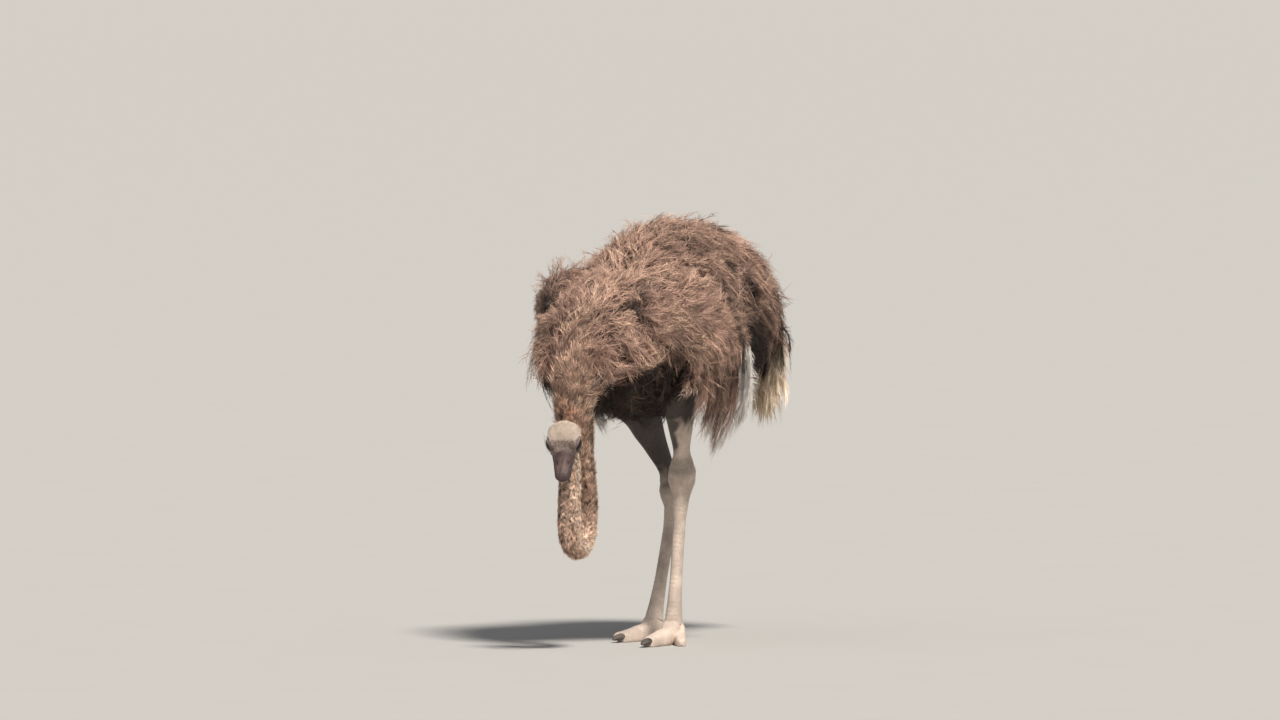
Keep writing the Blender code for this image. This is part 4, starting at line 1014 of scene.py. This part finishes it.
# the neck's feathers shorten from its root to the head and lie back along it
share = np.linspace(0, 1, neckRows)
neckPart = neckSkin[:neckRows]
neckSeats = scatter(neckPart, coatShape["neck"], 71, np.where(
    insideTrunk(neckPart, trunkShape["coat"]) < 0.85, 0.0, rowsOf(neckPart, (0.75 + 1.6 * share)[:, None])))
long, wide = keyed(((0.0, 0.075, 0.024), (0.15, 0.055, 0.018), (0.30, 0.038, 0.0125), (0.5, 0.026, 0.0085),
                    (0.8, 0.016, 0.006), (1.0, 0.013, 0.005)), neckSeats["share"])
neckSeats = styled(neckSeats, 72, -neckSeats["along"] * 1.0 + (0.0, 0.0, -0.35), long, wide, 0.42, 0.16, vary=0.3,
                   patch=0.030, patchy=0.65, curl=0.2, pale=0.35 * neckSeats["share"])
sunny = np.clip(neckSeats["normal"] @ (0.848, 0.53, 0.0) - 0.55, 0, 0.45)  # painted light: the neck is painted palest along its left, the side the light falls on
neckSeats["pale"] = neckSeats["pale"] + 0.9 * sunny
neckTufts = plant("neckTufts", gather(neckSeats, 1900, 0.45, 73), tuftKinds)

# longer plumes cover where the neck leaves the breast
rootPart = neckSkin[:int(0.25 * neckRows)]
rootSeats = scatter(rootPart, 760, 75, np.where(insideTrunk(rootPart, trunkShape["coat"]) < 0.92, 0.0, 1.0))
fading = np.clip(1 - rootSeats["share"], 0.25, 1)
rootSeats = styled(rootSeats, 76, -rootSeats["along"] - (0.0, 0.0, 0.10), 0.05 + 0.075 * fading, 0.010 + 0.015 * fading,
                   0.45, 0.20, patch=0.035, patchy=0.5)
# painted light: the throat's plumes are lighter, and paler below 0.80 m on the side the light falls on
rootSeats["tone"] = rootSeats["tone"] + 0.22
rootSeats["pale"] = np.clip(rootSeats["normal"] @ (0.848, 0.53, 0.0) - 0.55, 0, 0.45) * np.clip((0.80 - rootSeats["root"][:, 2]) / 0.08, 0, 1)
rootSeats = settle(gather(rootSeats, 110, 0.4, 77), trunkSkin, 0.045, 78, -0.9, 0.1)
throatPlumes = plant("throatPlumes", rootSeats, plumeKinds)

# the head's down lies back from the bill; none grows on the eyes, the lids or the horn
headPart = neckSkin[neckRows - 6:]
headAt = toHead(headPart)
bare = -headAt[..., 1] > 0.0315
for _, side in eyeSides:
    away = headAt - (side * headShape["eyeOut"], 0.0, headShape["eyeUp"])
    bare |= (np.linalg.norm(away, axis=-1) < 0.036) & (unit(away) @ unit(np.array([side, -0.30, 0.10])) > 0.47)
crown = np.clip((headAt[..., 2] + 0.012) / 0.02, 0, 1)
headSeats = scatter(headPart, coatShape["head"], 81, np.where(bare, 0.0, 0.45 + 0.55 * crown))
seatAt = toHead(headSeats["root"])
crown = np.clip((seatAt[:, 2] + 0.012) / 0.02, 0, 1) * np.clip((0.024 + seatAt[:, 1] * -1.0) / -0.03 + 1.6, 0, 1)
facial = np.clip((-seatAt[:, 1] - 0.004) / 0.022, 0, 1)
headSeats = styled(headSeats, 82, -headSeats["along"], 0.0115 - 0.0060 * facial, 0.0040 - 0.0018 * facial, 0.42, 0.22,
                   vary=0.3, curl=0.25, pale=np.clip(1.35 - 1.25 * facial, 0.1, 1.3) * (0.35 + 0.65 * crown))
headDown = plant("headDown", gather(headSeats, 1100, 0.4, 83), fuzzKinds)

# eyes, bill, claws and lashes


def eyePiece(sideName, side):
    # a ball whose rings stand round its gaze, with a slight bulge of 0.5 mm over the iris
    _, centre, gaze = lids[sideName]
    rings = ballRings(centre, headShape["eyeRadius"], 72, 64, gaze)
    offset = rings - centre
    polar = np.arccos(np.clip((unit(offset) * gaze).sum(-1), -1, 1))
    rings = centre + offset * (1 + 0.0005 / headShape["eyeRadius"] * np.exp(-(polar / 0.5) ** 4)[..., None])
    piece = closedForm(f"eyeball_{sideName}", rings)
    points = np.empty(len(piece.data.vertices) * 3, np.float32)
    piece.data.vertices.foreach_get("co", points)
    away = unit(points.reshape(-1, 3) - placeOfBird - centre)
    angle = np.arccos(np.clip(away @ gaze, -1, 1))
    piece.data.attributes.new("gazeAngle", "FLOAT", "POINT").data.foreach_set("value", angle.astype(np.float32))
    return piece


billShape = {"rows": 96, "around": 72, "start": 0.028, "round": 0.014, "overbite": 0.003, "power": 0.92}


def billRings(upper):
    # the horn's section at each distance forward: half an ellipse over or under the mouth's level with a
    # flat face to the mouth, rounded off at the tip, with dents for the nostrils and a nail at the end
    tip = headShape["billTip"] - (0 if upper else billShape["overbite"])
    f = billShape["start"] + (tip - billShape["start"]) * np.sin(np.linspace(0, math.pi / 2, billShape["rows"]))
    wide, top, bottom = keyed(headShape["keys"], f)
    full = roundEnd(tip - f, billShape["round"], 0.10)
    tuck = 0.0022 * np.clip((0.0375 - f) / 0.008, 0, 1)
    mouth = headShape["mouth"] + (0.0003 if upper else -0.0003)
    edge = top if upper else bottom
    c, s = turnsOf(billShape["around"])
    c, s = np.sign(c) * np.abs(c) ** billShape["power"], np.sign(s) * np.abs(s) ** billShape["power"]
    x = ((wide - tuck) * full)[:, None] * c
    tall = ((np.abs(edge - mouth) - tuck) * np.maximum(full, 0.25) ** 0.8)[:, None]
    z = np.where(s > 0, tall * s, 0.0006 * s)
    forward, level = f[:, None], np.clip(s, 0, 1)
    if upper:
        nostril = np.exp(-((forward - 0.064) / 0.0085) ** 2 - ((np.abs(c) - 0.60) / 0.13) ** 2)
        ridge = np.exp(-(c / 0.30) ** 2) * np.clip((0.10 - forward) / 0.03, 0, 1)
        groove = np.exp(-((np.abs(c) - 0.47) / 0.07) ** 2) * np.clip((0.096 - forward) / 0.01, 0, 1)
        nail = np.clip((forward - 0.092) / 0.0015, 0, 1) * np.clip((0.80 - np.abs(c)) / 0.12, 0, 1)
        z = z + level * (0.0010 * ridge - 0.0028 * nostril - 0.0006 * groove + 0.0009 * nail)
    else:
        nail = np.clip((forward - 0.094) / 0.0015, 0, 1) * np.clip((0.75 - np.abs(c)) / 0.12, 0, 1)
        keel = np.exp(-((np.abs(c) - 0.62) / 0.2) ** 2)
        z = z + level * (0.0007 * nail + 0.0006 * keel)
    z = mouth + z * (1 if upper else -1)
    return fromHead(np.stack([x, np.broadcast_to(-forward, x.shape), z], axis=2))


clawShape = {"length": 0.044, "halfWidth": 0.0135, "height": 0.022, "inset": 0.006, "clear": 0.0008}


def clawRings(sideName):
    # a blunt nail ahead of the big toe: an ellipse that tapers as the square root of 1 - share^2.2, its
    # middle falling with the square of the share, with a low ridge along its top
    joints = legShape[sideName]
    turn = joints["turn"]
    share = np.sin(np.linspace(0, math.pi / 2, 52))
    taper = np.sqrt(np.maximum(1 - share**2.2, 0.01))
    forward = np.array([math.sin(turn), -math.cos(turn), 0.0])
    side = np.array([math.cos(turn), math.sin(turn), 0.0])
    reach = toeShape["big"][0] - clawShape["inset"] + share * clawShape["length"]
    centres = np.array(joints["ball"]) * (1, 1, 0) + forward * reach[:, None]
    c, s = turnsOf(44)
    c, s = np.sign(c) * np.abs(c) ** 0.9, np.sign(s) * np.abs(s) ** 0.9
    high = clawShape["height"]
    z = (high * (0.76 - 0.30 * share**2))[:, None] + (0.42 * high * taper)[:, None] * s
    z = z + 0.0008 * np.exp(-(c / 0.3) ** 2) * np.clip(s, 0, 1) * (1 - share[:, None] ** 4)
    z = z + 0.00025 * np.sin(share[:, None] * 60 + 2 * c**2) * np.clip(s, 0, 1)
    points = centres[:, None] + (clawShape["halfWidth"] * taper)[:, None, None] * c[:, None] * side
    points[..., 2] = np.maximum(z, clawShape["clear"] + 0.0003 * np.abs(c) ** 4)
    return points


def lashPiece(sideName, side):
    # stiff lashes: narrow strips that leave the edge of the upper lid and curve up
    own = np.random.default_rng(91)
    _, centre, gaze = lids[sideName]
    _, _, _, (fore, above) = lidRings(side)
    angle = np.concatenate([np.linspace(0.25, math.pi - 0.1, 46), np.linspace(math.pi + 0.5, 2 * math.pi - 0.5, 14)])
    upper = angle < math.pi
    polar = 0.85 + 0.13 * np.cos(2 * angle) - 0.07 * np.sin(angle)
    spoke = np.cos(angle)[:, None] * fore + np.sin(angle)[:, None] * above
    start = centre + (headShape["eyeRadius"] + 0.0022) * (
        np.cos(polar)[:, None] * gaze + np.sin(polar)[:, None] * spoke)
    length = np.where(upper, 0.0150, 0.0045) * own.uniform(0.75, 1.15, len(angle))
    u = np.array([0.0, 0.4, 0.75, 1.0])
    out = unit(0.9 * gaze + 0.55 * spoke - 0.25 * fore)
    path = start[:, None] + length[:, None, None] * (out[:, None] * u[:, None] + spoke[:, None] * 0.45 * u[:, None] ** 2)
    along = unit(np.cross(spoke, gaze))
    half = 0.00030 * np.array([1.0, 0.9, 0.6, 0.15])
    pair = np.stack([path - along[:, None] * half[:, None], path + along[:, None] * half[:, None]], axis=2)
    k = np.arange(3) * 2
    quads = (np.arange(len(angle))[:, None, None] * 8 + np.stack([k, k + 1, k + 3, k + 2], -1)[None]).reshape(-1, 4)
    points = pair.reshape(-1, 3)
    maps = np.repeat(np.stack([angle / 7, np.full(len(angle), 0.5)], axis=1), 8, axis=0)
    return meshFrom(f"lashes_{sideName}", points, [quads], maps)


eyeballs = [eyePiece(sideName, side) for sideName, side in eyeSides]
lashes = [lashPiece(sideName, side) for sideName, side in eyeSides]
bills = [closedForm("billUpperHorn", billRings(True)), closedForm("billLowerHorn", billRings(False))]
billPoints = np.empty(len(bills[0].data.vertices) * 3, np.float32)
bills[0].data.vertices.foreach_get("co", billPoints)
billPoints = toHead(billPoints.reshape(-1, 3) - placeOfBird)
# painted shade: the nostrils' openings are painted near black
nostrilShade = np.exp(-((billPoints[:, 1] + 0.064) / 0.0075) ** 4 - ((np.abs(billPoints[:, 0]) - 0.0165) / 0.0024) ** 2)
bills[0].data.attributes.new("nostrilShade", "FLOAT", "POINT").data.foreach_set(
    "value", (nostrilShade * (billPoints[:, 2] > headShape["mouth"] + 0.004)).astype(np.float32))
claws = [closedForm(f"clawHorn_{sideName}", clawRings(sideName)) for sideName, _ in eyeSides]
print("eyes, bill, claws and lashes made")

# looks


def node(tree, kind, values=None, **settings):
    # a node with its settings; each value is linked if it is another node's output, and set if not
    made = tree.nodes.new(kind)
    for key, value in settings.items():
        setattr(made, key, value)
    for key, value in (values or {}).items():
        if isinstance(value, bpy.types.NodeSocket):
            tree.links.new(value, made.inputs[key])
        else:
            made.inputs[key].default_value = value
    return made


def mixed(tree, factor, a, b, blend="MIX"):
    a, b = ((*value, 1.0) if isinstance(value, tuple) else value for value in (a, b))
    return node(tree, "ShaderNodeMix", {0: factor, 6: a, 7: b}, data_type="RGBA", blend_type=blend).outputs[2]


def reckon(tree, operation, *values):
    return node(tree, "ShaderNodeMath", dict(enumerate(values)), operation=operation).outputs[0]


def ranged(tree, value, low, high, least=0.0, most=1.0, course="SMOOTHSTEP"):
    # a value's share of the way from low to high, smoothed or straight, brought to between least and most
    return node(tree, "ShaderNodeMapRange", {0: value, 1: low, 2: high, 3: least, 4: most},
                interpolation_type=course).outputs[0]


def noise(tree, scale, detail=2.0, stretch=None, rough=0.5):
    # soft noise over Object coordinates, with one axis stretched if asked
    where = node(tree, "ShaderNodeTexCoord").outputs["Object"]
    if stretch:
        where = node(tree, "ShaderNodeMapping", {"Vector": where, "Scale": stretch}).outputs[0]
    return node(tree, "ShaderNodeTexNoise", {"Vector": where, "Scale": scale, "Detail": detail,
                                             "Roughness": rough}).outputs["Fac"]


def shaded(tree, colour, amount):
    return node(tree, "ShaderNodeVectorMath", {0: colour, "Scale": amount}, operation="SCALE").outputs[0]


def effect(name, inputs, outputs):
    tree = bpy.data.node_groups.new(name, "ShaderNodeTree")
    for way, labels in (("INPUT", inputs), ("OUTPUT", outputs)):
        for label, kind in labels.items():
            tree.interface.new_socket(label, in_out=way, socket_type=f"NodeSocket{kind}")
    return tree, tree.nodes.new("NodeGroupInput").outputs, tree.nodes.new("NodeGroupOutput").inputs


def coatColourGroup():
    # a feather's colour: root, middle and tip along it, lighter or darker by its tone (chance plus painted
    # light and shade), each strand towards buff or not, soft patches over the body, and the white share at its end
    tree, given, made = effect(
        "coatColour", {"Along": "Float", "Tone": "Float", "Strand": "Float", "Pale": "Float", "Root": "Color",
                       "Middle": "Color", "Tip": "Color", "Buff": "Color", "White": "Color"}, {"Colour": "Color"})
    colour = mixed(tree, ranged(tree, given["Along"], 0.15, 0.62), given["Root"], given["Middle"])
    colour = mixed(tree, ranged(tree, given["Along"], 0.55, 1.0), colour, given["Tip"])
    buff = reckon(tree, "MULTIPLY", ranged(tree, given["Strand"], 0.35, 1.0, 0.0, 0.75),
                  ranged(tree, given["Along"], 0.2, 0.8, 0.3, 1.0))
    buff = reckon(tree, "MULTIPLY", buff, ranged(tree, noise(tree, 9.0), 0.38, 0.64, 0.35, 1.15))
    colour = mixed(tree, buff, colour, given["Buff"])
    light = reckon(tree, "MULTIPLY", ranged(tree, given["Tone"], -0.5, 1.1, 0.05, 1.50, "LINEAR"),
                   ranged(tree, noise(tree, 38.0, 3.0), 0.3, 0.7, 0.80, 1.22))
    light = reckon(tree, "MULTIPLY", light, ranged(
        tree, reckon(tree, "FRACT", reckon(tree, "MULTIPLY", given["Strand"], 7.3)), 0.0, 1.0, 0.66, 1.30, "LINEAR"))
    colour = shaded(tree, colour, light)
    edge = reckon(tree, "ADD", given["Along"], given["Pale"])
    edge = reckon(tree, "ADD", edge, ranged(tree, given["Strand"], 0.0, 1.0, -0.12, 0.12))
    white = shaded(tree, given["White"], ranged(tree, given["Strand"], 0.0, 1.0, 0.75, 1.08))
    tree.links.new(mixed(tree, ranged(tree, edge, 1.10, 1.26), colour, white), made["Colour"])
    return tree


def pebbleGroup():
    # small raised scales: rounded cells with dark creases between them; gives the creases and the height
    tree, given, made = effect("pebbledSkin", {"Scale": "Float"}, {"Crease": "Float", "Height": "Float"})
    where = node(tree, "ShaderNodeTexCoord").outputs["Object"]
    cells = node(tree, "ShaderNodeTexVoronoi", {"Vector": where, "Scale": given["Scale"]}, feature="DISTANCE_TO_EDGE")
    tree.links.new(ranged(tree, cells.outputs["Distance"], 0.0, 0.14, 1.0, 0.0), made["Crease"])
    tree.links.new(ranged(tree, cells.outputs["Distance"], 0.0, 0.30), made["Height"])
    return tree


coatColour, pebbledSkin = coatColourGroup(), pebbleGroup()


def material(name, roughness, specular=0.3, sheen=0.0, coat=0.0):
    made = bpy.data.materials.new(name)
    made.use_nodes = True
    tree = made.node_tree
    shader = tree.nodes["Principled BSDF"]
    for key, value in (("Roughness", roughness), ("Specular IOR Level", specular), ("Sheen Weight", sheen),
                       ("Coat Weight", coat), ("Coat Roughness", 0.06)):
        shader.inputs[key].default_value = value
    return made, tree, shader


def attribute(tree, name):
    return node(tree, "ShaderNodeAttribute", attribute_name=name).outputs["Fac"]


def coatMaterial(name, colours, roughness=0.75):
    made, tree, shader = material(name, roughness, 0.22, 0.04)
    values = {key: (*value, 1.0) for key, value in colours.items()}
    values.update({label: attribute(tree, label.lower()) for label in ("Along", "Tone", "Strand", "Pale")})
    group = node(tree, "ShaderNodeGroup", node_tree=coatColour)
    for key, value in values.items():
        if isinstance(value, bpy.types.NodeSocket):
            tree.links.new(value, group.inputs[key])
        else:
            group.inputs[key].default_value = value
    tree.links.new(group.outputs["Colour"], shader.inputs["Base Color"])
    return made


coatColours = {
    "plume": {"Root": (0.040, 0.025, 0.022), "Middle": (0.265, 0.160, 0.128), "Tip": (0.440, 0.275, 0.215),
              "Buff": (0.640, 0.455, 0.315), "White": (0.870, 0.825, 0.785)},
    "neck": {"Root": (0.100, 0.064, 0.050), "Middle": (0.640, 0.410, 0.305), "Tip": (0.840, 0.580, 0.440),
             "Buff": (0.820, 0.640, 0.490), "White": (0.820, 0.670, 0.540)},
    "head": {"Root": (0.230, 0.180, 0.150), "Middle": (0.330, 0.250, 0.220), "Tip": (0.430, 0.340, 0.290),
             "Buff": (0.540, 0.430, 0.350), "White": (0.560, 0.460, 0.385)},
}
plumeMaterial = coatMaterial("brownPlumes", coatColours["plume"])
tailMaterial = coatMaterial("tailPlumes", {**coatColours["plume"], "White": (0.93, 0.775, 0.60)})
neckMaterial = coatMaterial("neckDown", coatColours["neck"])
headMaterial = coatMaterial("headDown", coatColours["head"])


def skinMaterial():
    # dark under the body's feathers, buff on the neck, grey and mauve on the face, pale scales on the legs
    made, tree, shader = material("skin", 0.62, 0.35, 0.05)
    patches = ranged(tree, noise(tree, 14.0, 3.0), 0.35, 0.65, 0.80, 1.15)
    pebbles = node(tree, "ShaderNodeGroup", node_tree=pebbledSkin)
    pebbles.inputs["Scale"].default_value = 210.0
    leg = mixed(tree, noise(tree, 30.0, 3.0, (1.0, 1.0, 0.35)), (0.76, 0.63, 0.54), (0.56, 0.455, 0.385))
    leg = mixed(tree, reckon(tree, "MULTIPLY", pebbles.outputs["Crease"], 0.42), leg, (0.20, 0.15, 0.12))
    # painted shade: where inShade marks the body's shadow the legs turn near black
    leg = mixed(tree, reckon(tree, "MULTIPLY", attribute(tree, "inShade"), 0.94), leg,
                mixed(tree, pebbles.outputs["Crease"], (0.030, 0.021, 0.018), (0.012, 0.008, 0.007)))
    neck = mixed(tree, noise(tree, 60.0), (0.36, 0.26, 0.21), (0.26, 0.185, 0.15))
    face = mixed(tree, noise(tree, 90.0, 3.0), (0.250, 0.180, 0.172), (0.130, 0.094, 0.096))
    colour = mixed(tree, attribute(tree, "onLeg"), (0.060, 0.043, 0.036), leg)
    colour = mixed(tree, attribute(tree, "onNeck"), colour, neck)
    colour = mixed(tree, attribute(tree, "onFace"), colour, face)
    tree.links.new(shaded(tree, colour, patches), shader.inputs["Base Color"])
    fine = noise(tree, 900.0, 2.0)
    height = reckon(tree, "MULTIPLY_ADD", pebbles.outputs["Height"], attribute(tree, "onLeg"), fine)
    bump = node(tree, "ShaderNodeBump", {"Height": height, "Strength": 0.35, "Distance": 0.0012})
    tree.links.new(bump.outputs[0], shader.inputs["Normal"])
    return made


def hornMaterial(name, pale, dark, base=None):
    # long fine streaks from pale to dark, with small flakes in the gloss; the base is pinker if asked
    made, tree, shader = material(name, 0.50, 0.35)
    streaks = noise(tree, 120.0, 4.0, (1.0, 0.18, 0.18))
    colour = mixed(tree, ranged(tree, streaks, 0.35, 0.68), dark, pale)
    colour = mixed(tree, ranged(tree, noise(tree, 35.0, 3.0), 0.50, 0.72, 0.0, 0.5), colour, base or dark)
    # painted shade in the nostrils' openings
    colour = mixed(tree, attribute(tree, "nostrilShade"), colour, (0.012, 0.008, 0.008))
    tree.links.new(colour, shader.inputs["Base Color"])
    tree.links.new(ranged(tree, noise(tree, 400.0, 3.0), 0.3, 0.7, 0.46, 0.68), shader.inputs["Roughness"])
    bump = node(tree, "ShaderNodeBump", {"Height": streaks, "Strength": 0.25, "Distance": 0.0006})
    tree.links.new(bump.outputs[0], shader.inputs["Normal"])
    return made


def eyeMaterial():
    # a black pupil, a dark brown iris with streaks that run out from it, and a black rim
    made, tree, shader = material("eye", 0.10, 0.20, 0.0, 0.12)
    angle = attribute(tree, "gazeAngle")
    streaks = ranged(tree, noise(tree, 420.0, 3.0), 0.35, 0.65)
    iris = mixed(tree, streaks, (0.036, 0.018, 0.010), (0.012, 0.007, 0.005))
    colour = mixed(tree, ranged(tree, angle, 0.30, 0.34), (0.002, 0.002, 0.002), iris)
    colour = mixed(tree, ranged(tree, angle, 0.62, 0.74), colour, (0.008, 0.006, 0.006))
    tree.links.new(colour, shader.inputs["Base Color"])
    return made


skinLook, eyeLook = skinMaterial(), eyeMaterial()
billLook = hornMaterial("billHorn", (0.130, 0.084, 0.075), (0.056, 0.037, 0.037), (0.150, 0.086, 0.072))
clawLook = hornMaterial("clawHorn", (0.130, 0.105, 0.090), (0.045, 0.036, 0.034))
lashLook, lashTree, lashShader = material("lash", 0.5)
lashTree.links.new(mixed(lashTree, noise(lashTree, 300.0), (0.012, 0.009, 0.008), (0.035, 0.026, 0.022)),
                   lashShader.inputs["Base Color"])

nodesOf = {
    "skin": ["trunk", *(f"neck_{i}" for i in range(1, 6)), "head",
             *(f"{part}_{sideName}" for part in ("drumstick", "tarsus", "toe_big", "toe_small")
               for sideName, _ in eyeSides)],
    "tailPlumes": ["tail"], "billUpperHorn": ["bill_upper"], "billLowerHorn": ["bill_lower"],
    **{f"{piece}_{sideName}": [f"{part}_{sideName}"] for sideName, _ in eyeSides
       for piece, part in (("wingPlumes", "wing"), ("eyeball", "eye"), ("clawHorn", "claw"))},
}
for pieces, look, slot in (
        ([skin], skinLook, "skin"), (plumes + list(wingPlumes.values()) + quills + [throatPlumes], plumeMaterial, "plumage"),
        ([tailPlumes], tailMaterial, "pale_plumes"), ([neckTufts], neckMaterial, "down"),
        ([headDown], headMaterial, "down"), (eyeballs, eyeLook, "eye"), (bills, billLook, "horn"),
        (claws, clawLook, "horn"), (lashes, lashLook, "plumage")):
    for piece in pieces:
        piece.data.materials.clear()
        piece.data.materials.append(look)
        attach(piece, "root")
        if piece.name in nodesOf:
            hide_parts(*nodesOf[piece.name])
print("looks given")

# floor, light and camera

studio = {"floor": (4.0, 20.0, 100.0, 600.0, 4000.0, 20000.0), "rim": (0.0, 0.0, 0.0, 0.0, 20.0, 400.0), "azimuth": 32, "elevation": 2, "distance": 30.0,
          "lens": 286.9, "height": 0.838, "shift": 0.01324}

c, s = turnsOf(64)
reach = np.array(studio["floor"])
rim = np.repeat(studio["rim"], 64).reshape(-1, 64, 1) * (0.0, 0.0, 1.0)  # the far edge rises a little
discPoints = np.vstack([np.zeros((1, 3)), (reach[:, None, None] * np.stack([c, s, 0 * c], -1) + rim).reshape(-1, 3)])
discPoints = discPoints - placeOfBird
j = np.arange(64)
discFan = np.stack([np.zeros(64, int), 1 + j, 1 + (j + 1) % 64], axis=1)
inner = (np.arange(len(reach) - 1)[:, None] * 64 + 1 + j).ravel()
beside = (np.arange(len(reach) - 1)[:, None] * 64 + 1 + (j + 1) % 64).ravel()
floor = meshFrom("floor", discPoints, [discFan, np.stack([inner, inner + 64, beside + 64, beside], axis=1)])
floorLook, floorTree, floorShader = material("floorPaint", 0.9)
floorTree.links.new(mixed(floorTree, noise(floorTree, 3.0), (0.44, 0.43, 0.415), (0.46, 0.45, 0.435)),
                    floorShader.inputs["Base Color"])
floor.data.materials.append(floorLook)

world = bpy.data.worlds.new("studioAir")
world.use_nodes = True
world.node_tree.nodes["Background"].inputs["Color"].default_value = (0.84, 0.85, 0.88, 1.0)
world.node_tree.nodes["Background"].inputs["Strength"].default_value = 0.24
bpy.context.scene.world = world


def viewAxes(azimuth, elevation):
    # right, up and back of something that looks at the bird from a direction
    a, e = math.radians(azimuth), math.radians(elevation)
    back = np.array([math.sin(a) * math.cos(e), -math.cos(a) * math.cos(e), math.sin(e)])
    right = np.array([math.cos(a), math.sin(a), 0.0])
    return right, np.cross(back, right), back


def place(made, axes, location):
    made.rotation_euler = Matrix(np.column_stack(axes).tolist()).to_euler()
    made.location = placeOfBird + location
    bpy.context.scene.collection.objects.link(made)


# name, azimuth, elevation, strength, width of the light in degrees, colour
for name, azimuth, elevation, strength, width, colour in (
        ("keyLight", 58, 56, 4.6, 12, (1.0, 0.95, 0.87)), ("fillLight", -10, 55, 0.35, 60, (0.90, 0.93, 1.0))):
    light = bpy.data.lights.new(name, "SUN")
    light.energy, light.angle, light.color = strength, math.radians(width), colour
    axes = viewAxes(azimuth, elevation)
    place(bpy.data.objects.new(name, light), axes, axes[2] * 8)

lens = bpy.data.cameras.new("camera")
lens.lens, lens.sensor_width, lens.clip_end = studio["lens"], 36.0, 30000.0
camera = bpy.data.objects.new("camera", lens)
axes = viewAxes(studio["azimuth"], studio["elevation"])
place(camera, axes, axes[0] * studio["shift"] + (0, 0, studio["height"]) + axes[2] * studio["distance"])
bpy.context.scene.camera = camera
bpy.context.scene.view_settings.view_transform = "Standard"
